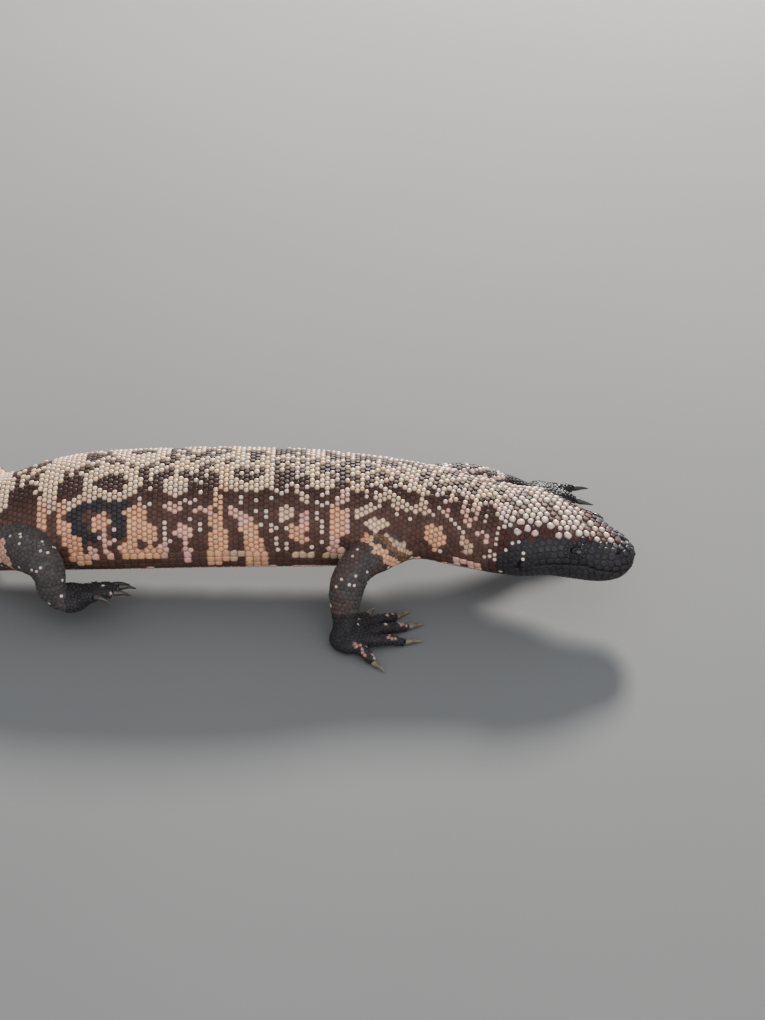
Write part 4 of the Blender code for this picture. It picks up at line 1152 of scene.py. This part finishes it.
bead_finish = scale_finish("satin_bead_horn", 0.55, 0.36, 0.10, 0.3)
black_finish = scale_finish("smooth_black_plate", 0.46, 0.40, 0.22, 0.2)
MID_TRUNK = 192
body_scale = (kind == BODY) & (labels != names.index("openings"))
is_belly = labels == names.index("belly")
on_crown_or_face = body_scale & (along < NECK_FROM)
trunk = body_scale & ~is_belly & (along >= NECK_FROM) & (along < TAIL_FROM)
right, front = around > 0, along < MID_TRUNK
scale_piece("crown_scales", on_crown_or_face & ~scale_black, bead_finish)
scale_piece("face_plates", on_crown_or_face & scale_black, black_finish)
scale_piece("front_right_beads", trunk & right & front, bead_finish)
scale_piece("rear_right_beads", trunk & right & ~front & ~scale_black, bead_finish)
scale_piece("fresh_black_beads", trunk & right & ~front & scale_black, black_finish)
scale_piece("front_left_beads", trunk & ~right & front, bead_finish)
scale_piece("rear_left_beads", trunk & ~right & ~front, bead_finish)
scale_piece("tail_beads", body_scale & ~is_belly & (along >= TAIL_FROM), bead_finish)
scale_piece("belly_plates", body_scale & is_belly, bead_finish)
for number, leg in enumerate(LEG_LINES):
    scale_piece(leg + "_leg_beads", (kind == LEG) & (which == number), bead_finish)
    scale_piece(leg + "_toe_scales", (kind == FOOT) & (which == number), black_finish)


# The eyes are dark wet balls, flattened to the slit of the lids and bulging a little between them.
# The iris is a faint brown ring round the pupil, and the whole ball is smooth and glossy.
EYE_HALVES = (4.3, 3.0, 3.95)
RAMP_PER_METRE = 300.0
IRIS = [(0.30, (0.003, 0.0025, 0.0025)), (0.42, (0.020, 0.012, 0.008)), (0.75, (0.008, 0.006, 0.005))]
for name, middle, outward, forward, over in eye_middles:
    form = bmesh.new()
    bmesh.ops.create_uvsphere(form, u_segments=48, v_segments=32, radius=1.0)
    for vertex in form.verts:
        long, tall, deep = (part * half for part, half in zip(vertex.co, EYE_HALVES))
        vertex.co = (Vector(middle) + forward * long + over * tall + outward * deep) * MM
    bmesh.ops.recalc_face_normals(form, faces=form.faces)
    eye_finish, tree, shader, place = new_material("wet_" + name)
    centred = tree.nodes.new("ShaderNodeMapping")
    pupil = (Vector(middle) + outward * EYE_HALVES[2]) * MM
    centred.inputs["Location"].default_value = -pupil
    tree.links.new(place, centred.inputs["Vector"])
    from_pupil = tree.nodes.new("ShaderNodeVectorMath")
    from_pupil.operation = "LENGTH"
    tree.links.new(centred.outputs["Vector"], from_pupil.inputs[0])
    spread = tree.nodes.new("ShaderNodeMath")
    spread.operation = "MULTIPLY"
    spread.inputs[1].default_value = RAMP_PER_METRE
    tree.links.new(from_pupil.outputs["Value"], spread.inputs[0])
    tree.links.new(ramp_over(tree, spread.outputs["Value"], IRIS), shader.inputs["Base Color"])
    shader.inputs["Roughness"].default_value = 0.06
    ball = object_of(form, "wet_" + name, [eye_finish])
    ball.data.shade_smooth()
    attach(ball, "root")
    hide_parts(name)


# The claws are curved horn, one at the end of each toe, with fine streaks. Each is a merged copy of
# its solid, rounded along its length but not at the rim of its root, which sits in the toe.
RIM_ANGLE = math.radians(62)
# The claws of the left forefoot and the right hind foot take a darker copy of the same horn, a painted shade.
CLAW_TONES = {
    "pale": ((0.075, 0.056, 0.040), (0.21, 0.172, 0.125)),
    "dark": ((0.022, 0.018, 0.015), (0.055, 0.044, 0.034)),
}
SHADED_CLAWS = ("claw_left_fore", "claw_right_hind")
claw_finishes = {}
for finish, tones in CLAW_TONES.items():
    claw_finishes[finish], tree, shader, place = new_material(finish + "_claw_horn")
    streak = cloudy_tone(tree, place, 380.0, *tones, detail=5.0)
    tree.links.new(streak, shader.inputs["Base Color"])
    shader.inputs["Roughness"].default_value = 0.34
    bump_on(tree, shader, noise_at(tree, place, 1400.0), 0.25, 0.0002)
for name in sorted(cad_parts):
    if name.startswith("claw_"):
        form = bmesh.new()
        form.from_mesh(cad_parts[name].data)
        bmesh.ops.remove_doubles(form, verts=form.verts, dist=MERGE_REACH)
        crease = form.edges.layers.float.new("crease_edge")
        for edge in form.edges:
            if edge.calc_face_angle(0) > RIM_ANGLE:
                edge[crease] = 0.9
        finish = claw_finishes["dark" if name.startswith(SHADED_CLAWS) else "pale"]
        claw = object_of(form, "horn_" + name, [finish])
        rounding = claw.modifiers.new("rounding", "SUBSURF")
        rounding.levels = rounding.render_levels = 2
        claw.data.shade_smooth()
        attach(claw, "root")
        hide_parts(name)
